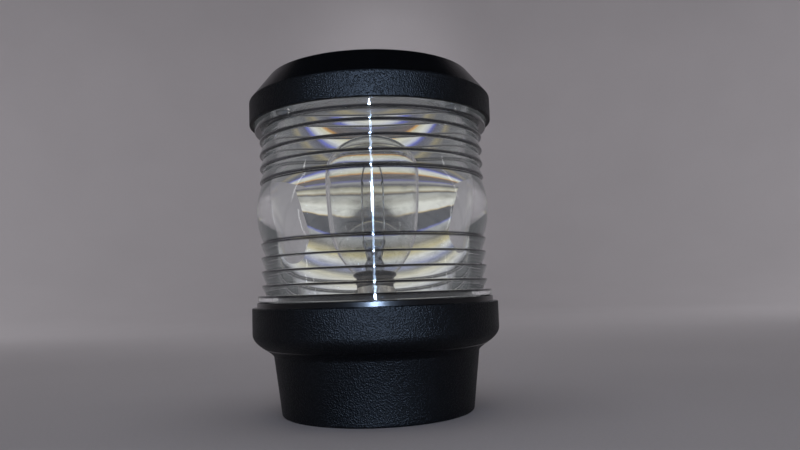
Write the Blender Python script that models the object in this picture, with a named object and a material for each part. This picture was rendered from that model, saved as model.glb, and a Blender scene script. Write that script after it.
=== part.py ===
"""All-round navigation light: black housing, stepped clear lens, cap and bayonet bulb.

A Blender 4.5 script in metres, +Z up. The origin is the centre of the base's
underside, and every moving piece turns about or slides along the Z axis.
"""
import math

import bmesh
import bpy
from mathutils import Matrix, Vector

MM = 0.001

# Clearances
GAP = 0.3 * MM                  # between pieces that touch
ROUND_GAP = 0.4 * MM            # between round pieces that turn in one another

# Lens: a drum with a plain inner wall, a bulging belt and stepped rings
LENS_INNER_R = 40.0 * MM
SPIGOT_WALL = 1.5 * MM
LOWER_FLANGE_HEIGHT = 2.3 * MM
BELT_HALF_HEIGHT = 11.7 * MM
BELT_THICKNESS = 5.6 * MM       # at the middle of the belt
BELT_CURVE_R = 30.0 * MM
RING_HEIGHTS = (5.3 * MM, 5.3 * MM, 5.3 * MM, 4.1 * MM)     # from the belt outwards
RING_CREST = 4.5 * MM           # thickness of the wall at a ring's outer edge
RING_ROOT = 2.5 * MM            # and at its inner edge
UPPER_FLANGE_THICKNESS = 6.0 * MM
UPPER_FLANGE_HEIGHT = 7.9 * MM
INNER_FLANGE_HEIGHT = 2.0 * MM
INNER_FLANGE_REACH = 8.0 * MM

# Bayonet between lens and base
LUG_COUNT = 3
LUG_REACH = 1.4 * MM
LUG_HEIGHT = 2.2 * MM
LUG_HALF_ANGLE = math.radians(9.0)
LUG_RISE = 0.5 * MM             # of the lugs over the spigot's lower edge
LUG_START = math.radians(90.0)
LOCK_TURN = math.radians(25.0)
TAB_HEIGHT = 2.0 * MM
TAB_SPAN = math.radians(40.0)
TAB_LEAD = math.radians(2.0)
STOP_SPAN = math.radians(4.0)
STOP_LEAD = math.radians(0.6)

# Base housing
SEAL_SECTION_R = 0.8 * MM
SEAL_HEADROOM = 0.8 * MM        # over the seal, under the lens's lower flange
TAB_DROP = 0.2 * MM             # of the bayonet tabs' tops below the seal's seat
COLLAR_WALL = 0.8 * MM
COLLAR_HEIGHT = 1.9 * MM
RIM_LEDGE = 1.9 * MM
RING_TOP_Z = 41.2 * MM
RING_SIDE_HEIGHT = 9.8 * MM
RING_OVERHANG = 8.0 * MM
NECK_Z = 22.5 * MM
FOOT_TAPER = 2.8 * MM
BASE_WALL = 2.7 * MM
FLOOR_THICKNESS = 4.0 * MM
EDGE_ROUND = 0.5 * MM
DECK_HOLE_R = 2.3 * MM
DECK_HOLE_INSET = 10.2 * MM
PILLAR_R = 4.2 * MM
PILLAR_INSET = 3.5 * MM

# Cap
CAP_LAP = 5.0 * MM              # of the cap's skirt down over the lens
CAP_SIDE_HEIGHT = 9.0 * MM
CAP_CHAMFER_RISE = 10.0 * MM
CAP_CHAMFER_RUN = 8.0 * MM
CAP_WALL = 1.7 * MM
CAP_ROOF = 2.0 * MM
GASKET_HEIGHT = 1.3 * MM
GASKET_WIDTH = 2.8 * MM
GASKET_OFFSET = 1.6 * MM        # of the gasket's inner edge from the lens's inner wall
SHIELD_THICKNESS = 0.8 * MM
CAP_BOSS_R = 2.9 * MM
CAP_SCREW_INSET = 4.5 * MM

# Lamp carrier, the black plate under the bulb
CARRIER_DROP = 0.7 * MM         # of the plate's top below the lens's lower flange
CARRIER_CLEARANCE = 1.8 * MM
CARRIER_PLATE = 2.5 * MM
CARRIER_SKIRT_WALL = 2.2 * MM
CARRIER_DEPTH = 10.7 * MM
CARRIER_BOSS_R = 5.6 * MM

# Bulb with a two-pin bayonet shell
PIN_ABOVE_CARRIER = 9.5 * MM
GLOBE_ABOVE_PIN = 30.0 * MM     # to the glass's widest height
GLOBE_R = 18.6 * MM
DOME_HEIGHT = 16.0 * MM         # of the glass over its widest height
GLASS_WALL = 0.7 * MM
SHELL_R = 7.5 * MM
SHELL_WALL = 0.4 * MM
SHELL_BELOW_PIN = 6.0 * MM
SKIRT_FLARE = 1.3 * MM
SKIRT_HEIGHT = 1.5 * MM
BULB_PIN_R = 1.0 * MM
BULB_PIN_REACH = 1.2 * MM
INSULATOR_HEIGHT = 1.6 * MM
PINCH_BELOW_GLOBE = 16.5 * MM   # the stem's flat pinch, under the widest height
PINCH_HEIGHT = 6.0 * MM
LEAD_OFFSET = 4.2 * MM
LEAD_WIRE_R = 0.3 * MM
FILAMENT_R = 0.3 * MM
FILAMENT_BOW = 3.0 * MM

# Bulb holder
HOLDER_WALL = 0.4 * MM
HOLDER_LIP = 0.8 * MM           # of the shell above the bayonet slots
PUSH_TRAVEL = 2.0 * MM
BULB_TURN = math.radians(20.0)
HOLDER_FLANGE_R = 13.0 * MM
HOLDER_FLANGE_THICKNESS = 1.2 * MM
CONTACT_OFFSET = 3.3 * MM
CONTACT_R = 1.0 * MM
CONTACT_HEAD_R = 1.9 * MM
CONTACT_HEAD_HEIGHT = 1.0 * MM
CONTACT_BLOCK_HEIGHT = 3.0 * MM
SPRING_LENGTH = 9.0 * MM
SPRING_WIRE_R = 0.3 * MM
SPRING_TURNS = 4
HOLDER_BACK_HEIGHT = 3.0 * MM
CONTACT_TAIL = 3.5 * MM         # of each contact below the holder's back

# Cable gland in the floor
GLAND_Y = 13.0 * MM
GLAND_R = 6.0 * MM
GLAND_BORE_R = 3.6 * MM
GLAND_FLANGE_R = 9.0 * MM
GLAND_FLANGE_THICKNESS = 1.2 * MM
GLAND_NUT_R = 8.6 * MM
GLAND_NUT_HEIGHT = 3.0 * MM
GLAND_CAP_HEIGHT = 8.0 * MM
GLAND_CAP_WALL = 1.8 * MM
GLAND_LENGTH = 13.0 * MM        # of the gland's tube above the floor
GLAND_SEAT_DEPTH = 5.0 * MM
GLAND_SEAT_WALL = 0.8 * MM

# Terminal block
BLOCK_CENTRE_Y = -14.0 * MM
BLOCK_SIZE = (22.0 * MM, 14.0 * MM, 11.0 * MM)
CLAMP_SPACING = 12.0 * MM
CLAMP_R = 2.2 * MM
CLAMP_BORE_R = 1.25 * MM
CLAMP_LIFT = 5.0 * MM           # of a clamp's axis over the block's underside
CLAMP_SCREW_SPACING = 6.0 * MM
WIRE_R = 0.8 * MM

# Screws: head radius, head height, shank radius, length under the head
CAP_SCREW = (2.8 * MM, 1.8 * MM, 1.4 * MM, 9.0 * MM)
CARRIER_SCREW = (2.8 * MM, 1.8 * MM, 1.4 * MM, 14.0 * MM)
HOLDER_SCREW = (1.7 * MM, 1.2 * MM, 0.9 * MM, 2.9 * MM)
CLAMP_SCREW = (1.4 * MM, 1.2 * MM, 0.9 * MM, 2.6 * MM)
BLOCK_SCREW = (2.4 * MM, 1.5 * MM, 1.2 * MM, 11.0 * MM)

# Facets
LARGE_ROUND = 40
MEDIUM_ROUND = 24
SMALL_ROUND = 14
TINY_ROUND = 10
NUT_SIDES = 6

# Radii that follow from the lens
SPIGOT_R = LENS_INNER_R + SPIGOT_WALL
LUG_R = SPIGOT_R + LUG_REACH
BASE_BORE_R = LUG_R + GAP
SEAL_SEAT_R = BASE_BORE_R + 2 * SEAL_SECTION_R + 0.5 * MM
COLLAR_R = SEAL_SEAT_R + COLLAR_WALL
BASE_RING_R = COLLAR_R + RIM_LEDGE
NECK_R = BASE_RING_R - RING_OVERHANG
FOOT_R = NECK_R - FOOT_TAPER
LOWER_FLANGE_R = COLLAR_R - GAP
UPPER_FLANGE_R = LENS_INNER_R + UPPER_FLANGE_THICKNESS
CAP_R = UPPER_FLANGE_R + GAP + CAP_WALL
CARRIER_R = LENS_INNER_R - CARRIER_CLEARANCE
PILLAR_PITCH_R = FOOT_R - BASE_WALL - PILLAR_INSET
DECK_PITCH_R = FOOT_R - DECK_HOLE_INSET
CAP_SCREW_PITCH_R = LENS_INNER_R - CAP_SCREW_INSET
GASKET_INNER_R = LENS_INNER_R + GASKET_OFFSET
HOLDER_INNER_R = SHELL_R + 0.2 * MM
HOLDER_R = HOLDER_INNER_R + HOLDER_WALL
HOLDER_SCREW_PITCH_R = (HOLDER_R + HOLDER_FLANGE_R) / 2

# Heights that follow from the base's ring upwards
COLLAR_TOP_Z = RING_TOP_Z + COLLAR_HEIGHT
LENS_BOTTOM_Z = COLLAR_TOP_Z + GAP
LOWER_RINGS_Z = LENS_BOTTOM_Z + LOWER_FLANGE_HEIGHT
BELT_Z = LOWER_RINGS_Z + sum(RING_HEIGHTS) + BELT_HALF_HEIGHT
UPPER_FLANGE_Z = BELT_Z + BELT_HALF_HEIGHT + sum(RING_HEIGHTS)
LENS_TOP_Z = UPPER_FLANGE_Z + UPPER_FLANGE_HEIGHT
INNER_FLANGE_Z = LENS_TOP_Z - INNER_FLANGE_HEIGHT
SEAL_SEAT_Z = LENS_BOTTOM_Z - SEAL_HEADROOM - 2 * SEAL_SECTION_R - GAP
TAB_Z = SEAL_SEAT_Z - TAB_DROP - TAB_HEIGHT
LUG_Z = TAB_Z - GAP - LUG_HEIGHT
SPIGOT_BOTTOM_Z = LUG_Z - LUG_RISE
CAP_BOTTOM_Z = LENS_TOP_Z - CAP_LAP
CAP_SHOULDER_Z = CAP_BOTTOM_Z + CAP_SIDE_HEIGHT
CAP_TOP_Z = CAP_SHOULDER_Z + CAP_CHAMFER_RISE
SHIELD_Z = LENS_TOP_Z + GAP
CAP_LEDGE_Z = SHIELD_Z + GASKET_HEIGHT + GAP
CAP_BOSS_Z = SHIELD_Z + SHIELD_THICKNESS + GAP
CARRIER_TOP_Z = LOWER_RINGS_Z - CARRIER_DROP
CARRIER_BOTTOM_Z = CARRIER_TOP_Z - CARRIER_DEPTH
PILLAR_TOP_Z = CARRIER_BOTTOM_Z - GAP
BULB_PIN_Z = CARRIER_TOP_Z + PIN_ABOVE_CARRIER
GLOBE_Z = BULB_PIN_Z + GLOBE_ABOVE_PIN
SHELL_BOTTOM_Z = BULB_PIN_Z - SHELL_BELOW_PIN
SLOT_HALF = BULB_PIN_R + GAP
HOLDER_TOP_Z = BULB_PIN_Z + SLOT_HALF + HOLDER_LIP
SKIRT_Z = HOLDER_TOP_Z + PUSH_TRAVEL + GAP
SKIRT_TOP_Z = SKIRT_Z + SKIRT_HEIGHT
CONTACT_TOP_Z = SHELL_BOTTOM_Z - 2 * GAP
CONTACT_BLOCK_TOP_Z = CONTACT_TOP_Z - CONTACT_HEAD_HEIGHT - GAP
CONTACT_BLOCK_Z = CONTACT_BLOCK_TOP_Z - CONTACT_BLOCK_HEIGHT
SPRING_TOP_Z = CONTACT_BLOCK_Z - GAP
SPRING_BOTTOM_Z = SPRING_TOP_Z - SPRING_LENGTH
HOLDER_BACK_TOP_Z = SPRING_BOTTOM_Z - GAP
HOLDER_BACK_Z = HOLDER_BACK_TOP_Z - HOLDER_BACK_HEIGHT
HOLDER_BOTTOM_Z = HOLDER_BACK_Z - GAP - HOLDER_WALL
CONTACT_BOTTOM_Z = HOLDER_BACK_Z - CONTACT_TAIL
HOLDER_FLANGE_TOP_Z = CARRIER_TOP_Z - CARRIER_PLATE - GAP
HOLDER_FLANGE_Z = HOLDER_FLANGE_TOP_Z - HOLDER_FLANGE_THICKNESS
GLAND_TOP_Z = FLOOR_THICKNESS + GLAND_LENGTH
BLOCK_Z = FLOOR_THICKNESS + GAP
BLOCK_TOP_Z = BLOCK_Z + BLOCK_SIZE[2]
CLAMP_Z = BLOCK_Z + CLAMP_LIFT

PILLAR_ANGLES = [math.radians(a) for a in (30.0, 150.0, 270.0)]
DECK_ANGLES = [math.radians(a) for a in (90.0, 210.0, 330.0)]
CAP_SCREW_ANGLES = [math.radians(a) for a in (90.0, 210.0, 330.0)]
HOLDER_SCREW_ANGLES = [math.radians(a) for a in (90.0, 270.0)]


# ---------------------------------------------------------------- helpers

def make_material(name, colour, roughness, metallic=0.0, transmission=0.0):
    material = bpy.data.materials.new(name)
    material.use_nodes = True
    shader = material.node_tree.nodes["Principled BSDF"]
    shader.inputs["Base Color"].default_value = (*colour, 1.0)
    shader.inputs["Roughness"].default_value = roughness
    shader.inputs["Metallic"].default_value = metallic
    shader.inputs["Transmission Weight"].default_value = transmission
    return material


FINISHES = {
    "grained_black": ((0.012, 0.012, 0.015), 0.45, 0.0, 0.0),
    "smooth_black": ((0.015, 0.015, 0.017), 0.3, 0.0, 0.0),
    "clear_plastic": ((0.95, 0.96, 0.96), 0.03, 0.0, 1.0),
    "glass": ((1.0, 1.0, 1.0), 0.0, 0.0, 1.0),
    "rubber": ((0.02, 0.02, 0.02), 0.8, 0.0, 0.0),
    "nickel": ((0.55, 0.54, 0.5), 0.25, 1.0, 0.0),
    "brass": ((0.75, 0.58, 0.28), 0.3, 1.0, 0.0),
    "steel": ((0.6, 0.6, 0.6), 0.3, 1.0, 0.0),
    "aluminium": ((0.8, 0.8, 0.8), 0.35, 1.0, 0.0),
    "tungsten": ((0.2, 0.2, 0.2), 0.5, 1.0, 0.0),
    "solder": ((0.6, 0.6, 0.62), 0.4, 1.0, 0.0),
    "phenolic": ((0.12, 0.05, 0.02), 0.5, 0.0, 0.0),
    "block_plastic": ((0.75, 0.74, 0.7), 0.5, 0.0, 0.0),
    "red_sleeve": ((0.5, 0.02, 0.02), 0.5, 0.0, 0.0),
    "black_sleeve": ((0.02, 0.02, 0.02), 0.5, 0.0, 0.0),
}


def polar(radius, angle, z=0.0):
    return Vector((radius * math.cos(angle), radius * math.sin(angle), z))


def arc(centre_r, centre_z, radius, start, end, steps):
    """Points (r, z) along an arc; angles in degrees from the +R direction."""
    angles = [math.radians(start + (end - start) * i / steps) for i in range(steps + 1)]
    return [(centre_r + radius * math.cos(a), centre_z + radius * math.sin(a)) for a in angles]


def bezier(points, steps):
    """Points along a cubic curve, both ends included."""
    result = []
    for i in range(steps + 1):
        t = i / steps
        weights = ((1 - t) ** 3, 3 * t * (1 - t) ** 2, 3 * t * t * (1 - t), t ** 3)
        result.append(tuple(sum(w * p[k] for w, p in zip(weights, points)) for k in range(2)))
    return result


def finish_object(name, mesh, finish, location=(0.0, 0.0, 0.0)):
    """Put a mesh in the scene; without a finish it is a tool for a Boolean."""
    piece = bpy.data.objects.new(name, mesh)
    piece.location = location
    bpy.context.scene.collection.objects.link(piece)
    if finish is None:
        piece.hide_render = True
        piece.display_type = "WIRE"
    else:
        mesh.materials.append(make_material(name, *FINISHES[finish]))
        mesh.shade_smooth()
        mesh.set_sharp_from_angle(angle=math.radians(35.0))
    return piece


def mesh_from(bm, name):
    """Close a bmesh off: merged, without flat faces, faces pointing out."""
    bmesh.ops.remove_doubles(bm, verts=bm.verts, dist=1e-7)
    bmesh.ops.dissolve_degenerate(bm, dist=1e-7, edges=bm.edges)
    bmesh.ops.recalc_face_normals(bm, faces=bm.faces)
    mesh = bpy.data.meshes.new(name)
    bm.to_mesh(mesh)
    bm.free()
    return mesh


def add_turned(bm, profile, segments, closed, centre=(0.0, 0.0)):
    """Spin a profile of (r, z) points about a vertical axis through centre."""
    verts = [bm.verts.new((centre[0] + r, centre[1], z)) for r, z in profile]
    pairs = list(zip(verts[:-1], verts[1:]))
    if closed:
        pairs.append((verts[-1], verts[0]))
    edges = [bm.edges.new(pair) for pair in pairs]
    bmesh.ops.spin(bm, geom=verts + edges, cent=(*centre, 0.0), axis=(0.0, 0.0, 1.0),
                   angle=math.tau, steps=segments, use_merge=False, use_duplicate=False)


def turned(name, profile, segments, finish, closed=True, location=(0.0, 0.0, 0.0)):
    """A lathed piece; an open profile starts and ends on the axis."""
    bm = bmesh.new()
    add_turned(bm, profile, segments, closed)
    return finish_object(name, mesh_from(bm, name), finish, location)


def rods(name, centres, radius, bottom, top, segments=SMALL_ROUND):
    """A Boolean tool of upright round bars at the given (x, y) places."""
    bm = bmesh.new()
    for centre in centres:
        profile = [(0.0, top), (radius, top), (radius, bottom), (0.0, bottom)]
        add_turned(bm, profile, segments, False, centre[:2])
    return finish_object(name, mesh_from(bm, name), None)


def sectors(name, inner, outer, bottom, top, spans, finish=None):
    """Blocks between two radii and two heights, one for each span of angles."""
    bm = bmesh.new()
    for start, end in spans:
        steps = max(2, round((end - start) / math.radians(7.5)))
        angles = [start + (end - start) * i / steps for i in range(steps + 1)]
        outline = [polar(outer, a, bottom) for a in angles]
        outline += [polar(inner, a, bottom) for a in reversed(angles)]
        face = bm.faces.new([bm.verts.new(p) for p in outline])
        raised = bmesh.ops.extrude_face_region(bm, geom=[face])["geom"]
        moved = [v for v in raised if isinstance(v, bmesh.types.BMVert)]
        bmesh.ops.translate(bm, verts=moved, vec=(0.0, 0.0, top - bottom))
    return finish_object(name, mesh_from(bm, name), finish)


def block(name, size, centre, finish=None, bevel=0.0):
    """A box by its size and centre, with its edges eased."""
    bm = bmesh.new()
    bmesh.ops.create_cube(bm, size=1.0, matrix=Matrix.Diagonal((*size, 1.0)))
    if bevel:
        bmesh.ops.bevel(bm, geom=bm.edges[:], offset=bevel, segments=1, affect="EDGES")
    return finish_object(name, mesh_from(bm, name), finish, centre)


def combine(piece, tool, operation):
    modifier = piece.modifiers.new(tool.name, "BOOLEAN")
    modifier.operation = operation
    modifier.solver = "EXACT"
    modifier.object = tool
    return piece


def cut(piece, tool):
    return combine(piece, tool, "DIFFERENCE")


def join(piece, tool):
    return combine(piece, tool, "UNION")


def smooth_path(points, steps):
    """A Catmull-Rom curve through the points."""
    ends = [points[0] * 2 - points[1]] + list(points) + [points[-1] * 2 - points[-2]]
    path = []
    for a, b, c, d in zip(ends, ends[1:], ends[2:], ends[3:]):
        for i in range(steps):
            t = i / steps
            path.append(0.5 * (2 * b + (c - a) * t + (2 * a - 5 * b + 4 * c - d) * t ** 2
                               + (3 * b - a - 3 * c + d) * t ** 3))
    path.append(points[-1])
    return path


def wire(name, path, radius, finish, resolution=1):
    """A round wire along a list of points, closed at its ends."""
    curve = bpy.data.curves.new(name, "CURVE")
    curve.dimensions = "3D"
    curve.bevel_depth = radius
    curve.bevel_resolution = resolution
    curve.use_fill_caps = True
    spline = curve.splines.new("POLY")
    spline.points.add(len(path) - 1)
    for point, place in zip(spline.points, path):
        point.co = (*place, 1.0)
    curve.materials.append(make_material(name, *FINISHES[finish]))
    piece = bpy.data.objects.new(name, curve)
    bpy.context.scene.collection.objects.link(piece)
    return piece


def screw(name, sizes, place, finish, upwards=False, segments=SMALL_ROUND):
    """A slotted pan-head screw; place is the underside of its head."""
    head_r, head_height, shank_r, length = sizes
    crown = 0.3 * head_height
    profile = [(0.0, head_height), (0.75 * head_r, head_height),
               (head_r, head_height - crown), (head_r, 0.0), (shank_r, 0.0),
               (shank_r, -length + shank_r), (0.3 * shank_r, -length), (0.0, -length)]
    piece = turned(name, profile, segments, finish, closed=False, location=place)
    slot_size = (2.5 * head_r, 0.3 * head_r, head_height)
    slot_centre = Vector((0.0, 0.0, head_height))
    slot = block(name + "_slot", slot_size, slot_centre)
    slot.parent = piece
    if upwards:
        piece.rotation_euler = (math.pi, 0.0, 0.0)
    return cut(piece, slot)


# ---------------------------------------------------------------- base

def lug_centres():
    return [LUG_START + math.tau * i / LUG_COUNT for i in range(LUG_COUNT)]


def base_profile():
    """The housing's section, from the floor up its inner side and down its outer one."""
    ring_bottom = RING_TOP_Z - RING_SIDE_HEIGHT
    rim_r = BASE_RING_R - EDGE_ROUND / 2
    cove = bezier([(BASE_RING_R, ring_bottom), (BASE_RING_R, ring_bottom - 4.6 * MM),
                   (NECK_R + 1.0 * MM, NECK_Z + 2.4 * MM), (NECK_R, NECK_Z)], 7)
    outside = [(SEAL_SEAT_R, COLLAR_TOP_Z), (COLLAR_R - EDGE_ROUND, COLLAR_TOP_Z),
               (COLLAR_R, COLLAR_TOP_Z - EDGE_ROUND), (COLLAR_R, RING_TOP_Z),
               (rim_r, RING_TOP_Z), (BASE_RING_R, RING_TOP_Z - EDGE_ROUND / 2)]
    foot = [(FOOT_R, EDGE_ROUND), (FOOT_R - EDGE_ROUND, 0.0), (0.0, 0.0)]
    inside = [(0.0, FLOOR_THICKNESS), (FOOT_R - BASE_WALL, FLOOR_THICKNESS),
              (NECK_R - BASE_WALL, NECK_Z), (NECK_R - BASE_WALL + 0.8 * MM, NECK_Z + 2.6 * MM),
              (BASE_BORE_R - 0.6 * MM, ring_bottom), (BASE_BORE_R, ring_bottom + 1.8 * MM),
              (BASE_BORE_R, SEAL_SEAT_Z), (SEAL_SEAT_R, SEAL_SEAT_Z)]
    return inside + outside + cove + foot


def make_base_housing():
    housing = turned("base_housing", base_profile(), LARGE_ROUND, "grained_black", closed=False)

    tab_starts = [a + LUG_HALF_ANGLE + TAB_LEAD for a in lug_centres()]
    tabs = sectors("bayonet_tabs", SPIGOT_R + ROUND_GAP, BASE_BORE_R + BASE_WALL / 2, TAB_Z,
                   TAB_Z + TAB_HEIGHT, [(a, a + TAB_SPAN) for a in tab_starts])
    stop_starts = [a + LOCK_TURN + LUG_HALF_ANGLE + STOP_LEAD for a in lug_centres()]
    stops = sectors("bayonet_stops", SPIGOT_R + ROUND_GAP, BASE_BORE_R + BASE_WALL / 2,
                    LUG_Z, TAB_Z + TAB_HEIGHT / 2, [(a, a + STOP_SPAN) for a in stop_starts])
    pillars = rods("pillars", [polar(PILLAR_PITCH_R, a) for a in PILLAR_ANGLES], PILLAR_R,
                   FLOOR_THICKNESS / 2, PILLAR_TOP_Z)
    join(join(join(housing, tabs), stops), pillars)

    shank_r, shank_length = CARRIER_SCREW[2], CARRIER_SCREW[3]
    pilot_bottom = carrier_screw_z() - shank_length - 2 * GAP
    pilots = rods("pillar_pilots", [polar(PILLAR_PITCH_R, a) for a in PILLAR_ANGLES],
                  shank_r + GAP, pilot_bottom, PILLAR_TOP_Z + 1.0 * MM, TINY_ROUND)
    deck_holes = rods("deck_holes", [polar(DECK_PITCH_R, a) for a in DECK_ANGLES], DECK_HOLE_R,
                      -1.0 * MM, FLOOR_THICKNESS + 1.0 * MM, TINY_ROUND)
    gland_place = [(0.0, GLAND_Y)]
    gland_hole = rods("gland_hole", gland_place, GLAND_R + GAP, -1.0 * MM,
                      FLOOR_THICKNESS + 1.0 * MM)
    gland_recess = rods("gland_recess", gland_place, GLAND_FLANGE_R + GAP, -1.0 * MM,
                        GLAND_FLANGE_THICKNESS + 2 * GAP, MEDIUM_ROUND)
    block_pilot = rods("block_pilot", [(0.0, BLOCK_CENTRE_Y)], BLOCK_SCREW[2] + GAP,
                       block_screw_z() - BLOCK_SCREW[3] - GAP, FLOOR_THICKNESS + 1.0 * MM, TINY_ROUND)
    for tool in (pilots, deck_holes, gland_hole, gland_recess, block_pilot):
        cut(housing, tool)


def make_gland():
    place = (0.0, GLAND_Y, 0.0)
    seat_r = GLAND_R - GLAND_SEAT_WALL
    seat_z = GLAND_TOP_Z - GLAND_SEAT_DEPTH
    turned("gland_body",
           [(seat_r, GLAND_TOP_Z), (GLAND_R, GLAND_TOP_Z),
            (GLAND_R, GAP + GLAND_FLANGE_THICKNESS), (GLAND_FLANGE_R, GAP + GLAND_FLANGE_THICKNESS),
            (GLAND_FLANGE_R, GAP), (GLAND_BORE_R, GAP), (GLAND_BORE_R, seat_z), (seat_r, seat_z)],
           MEDIUM_ROUND, "smooth_black", location=place)
    nut_z = FLOOR_THICKNESS + GAP
    nut = turned("gland_lock_nut",
                 [(0.0, nut_z + GLAND_NUT_HEIGHT), (GLAND_NUT_R, nut_z + GLAND_NUT_HEIGHT),
                  (GLAND_NUT_R, nut_z), (0.0, nut_z)],
                 NUT_SIDES, "smooth_black", closed=False, location=place)
    cut(nut, rods("gland_nut_bore", [(0.0, GLAND_Y)], GLAND_R + GAP, nut_z - 1.0 * MM,
                  nut_z + GLAND_NUT_HEIGHT + 1.0 * MM, MEDIUM_ROUND))
    seal_top = GLAND_TOP_Z + 2 * GAP
    turned("gland_seal",
           [(GLAND_BORE_R, seal_top), (seat_r - GAP, seal_top), (seat_r - GAP, seat_z + GAP),
            (GLAND_BORE_R, seat_z + GAP)],
           MEDIUM_ROUND, "rubber", location=place)
    cap_inner = GLAND_R + GAP
    cap_roof_z = seal_top + GAP
    cap_top = cap_roof_z + GLAND_CAP_WALL
    turned("gland_cap_nut",
           [(GLAND_BORE_R, cap_top), (cap_inner + GLAND_CAP_WALL - EDGE_ROUND, cap_top),
            (cap_inner + GLAND_CAP_WALL, cap_top - EDGE_ROUND),
            (cap_inner + GLAND_CAP_WALL, cap_top - GLAND_CAP_HEIGHT),
            (cap_inner, cap_top - GLAND_CAP_HEIGHT), (cap_inner, cap_roof_z),
            (GLAND_BORE_R, cap_roof_z)],
           MEDIUM_ROUND, "smooth_black", location=place)


def clamp_places():
    return [(side * CLAMP_SPACING / 2, BLOCK_CENTRE_Y) for side in (-1, 1)]


def clamp_screw_places():
    return [(x, y + step * CLAMP_SCREW_SPACING / 2) for x, y in clamp_places() for step in (-1, 1)]


def clamp_screw_z():
    """Underside of a clamp screw's head; its tip stays clear of the wire."""
    return CLAMP_Z + WIRE_R + GAP + CLAMP_SCREW[3]


def block_screw_z():
    """Underside of the block screw's head, sunk below the block's top."""
    return BLOCK_TOP_Z - BLOCK_SCREW[1] - 2 * GAP


def lying_tube(name, outer, inner, length, place, finish):
    """A round tube, or a bar where inner is 0, lying along Y."""
    half = length / 2
    if inner:
        profile = [(inner, half), (outer, half), (outer, -half), (inner, -half)]
    else:
        profile = [(0.0, half), (outer, half), (outer, -half), (0.0, -half)]
    tube = turned(name, profile, SMALL_ROUND, finish, closed=bool(inner), location=place)
    tube.rotation_euler = (math.pi / 2, 0.0, 0.0)
    return tube


def make_terminals():
    width, depth, height = BLOCK_SIZE
    body = block("terminal_block", BLOCK_SIZE, (0.0, BLOCK_CENTRE_Y, BLOCK_Z + height / 2),
                 "block_plastic", bevel=0.5 * MM)
    for number, (x, y) in enumerate(clamp_places(), 1):
        cut(body, lying_tube(f"clamp_tunnel_{number}", CLAMP_R + GAP, 0.0, depth + 2.0 * MM,
                             (x, y, CLAMP_Z), None))
    cut(body, rods("clamp_wells", clamp_screw_places(), CLAMP_SCREW[0] + GAP, CLAMP_Z,
                   BLOCK_TOP_Z + 1.0 * MM))
    cut(body, rods("block_screw_hole", [(0.0, BLOCK_CENTRE_Y)], BLOCK_SCREW[2] + GAP,
                   BLOCK_Z - 1.0 * MM, BLOCK_TOP_Z + 1.0 * MM, TINY_ROUND))
    cut(body, rods("block_screw_recess", [(0.0, BLOCK_CENTRE_Y)], BLOCK_SCREW[0] + GAP,
                   block_screw_z() - GAP, BLOCK_TOP_Z + 1.0 * MM))
    thread = rods("clamp_threads", clamp_screw_places(), CLAMP_SCREW[2] + GAP, CLAMP_Z,
                  CLAMP_Z + CLAMP_R + 1.0 * MM, TINY_ROUND)
    for number, (x, y) in enumerate(clamp_places(), 1):
        clamp = lying_tube(f"terminal_clamp_{number}", CLAMP_R, CLAMP_BORE_R, depth - 1.0 * MM,
                           (x, y, CLAMP_Z), "brass")
        cut(clamp, thread)
    for number, (x, y) in enumerate(clamp_screw_places(), 1):
        screw(f"terminal_screw_{number}", CLAMP_SCREW, (x, y, clamp_screw_z()), "steel",
              segments=TINY_ROUND)
    screw("block_screw", BLOCK_SCREW, (0.0, BLOCK_CENTRE_Y, block_screw_z()), "steel")


def make_wires():
    """Two flexible leads from the sprung contacts to the terminal clamps."""
    top = CONTACT_BOTTOM_Z - GAP
    block_face = BLOCK_CENTRE_Y + BLOCK_SIZE[1] / 2
    drop = top - CLAMP_Z
    for number, side, finish in ((1, 1, "red_sleeve"), (2, -1, "black_sleeve")):
        start_y = side * CONTACT_OFFSET
        clamp_x = side * CLAMP_SPACING / 2
        points = [Vector((0.0, start_y, top)),
                  Vector((0.05 * clamp_x, start_y, top - 0.12 * drop)),
                  Vector((0.7 * clamp_x, start_y + 0.5 * MM, top - 0.45 * drop)),
                  Vector((1.1 * clamp_x, block_face + 4.2 * MM, CLAMP_Z + 0.25 * drop)),
                  Vector((clamp_x, block_face + 1.5 * MM, CLAMP_Z + 0.6 * MM)),
                  Vector((clamp_x, block_face - 1.5 * MM, CLAMP_Z)),
                  Vector((clamp_x, block_face - 4.5 * MM, CLAMP_Z))]
        wire(f"wire_{number}", smooth_path(points, 3), WIRE_R, finish)


# ---------------------------------------------------------------- lamp carrier and holder

def carrier_screw_z():
    """Underside of a carrier screw's head, sunk in the plate."""
    return CARRIER_TOP_Z - CARRIER_SCREW[1] - 2 * GAP


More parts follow.
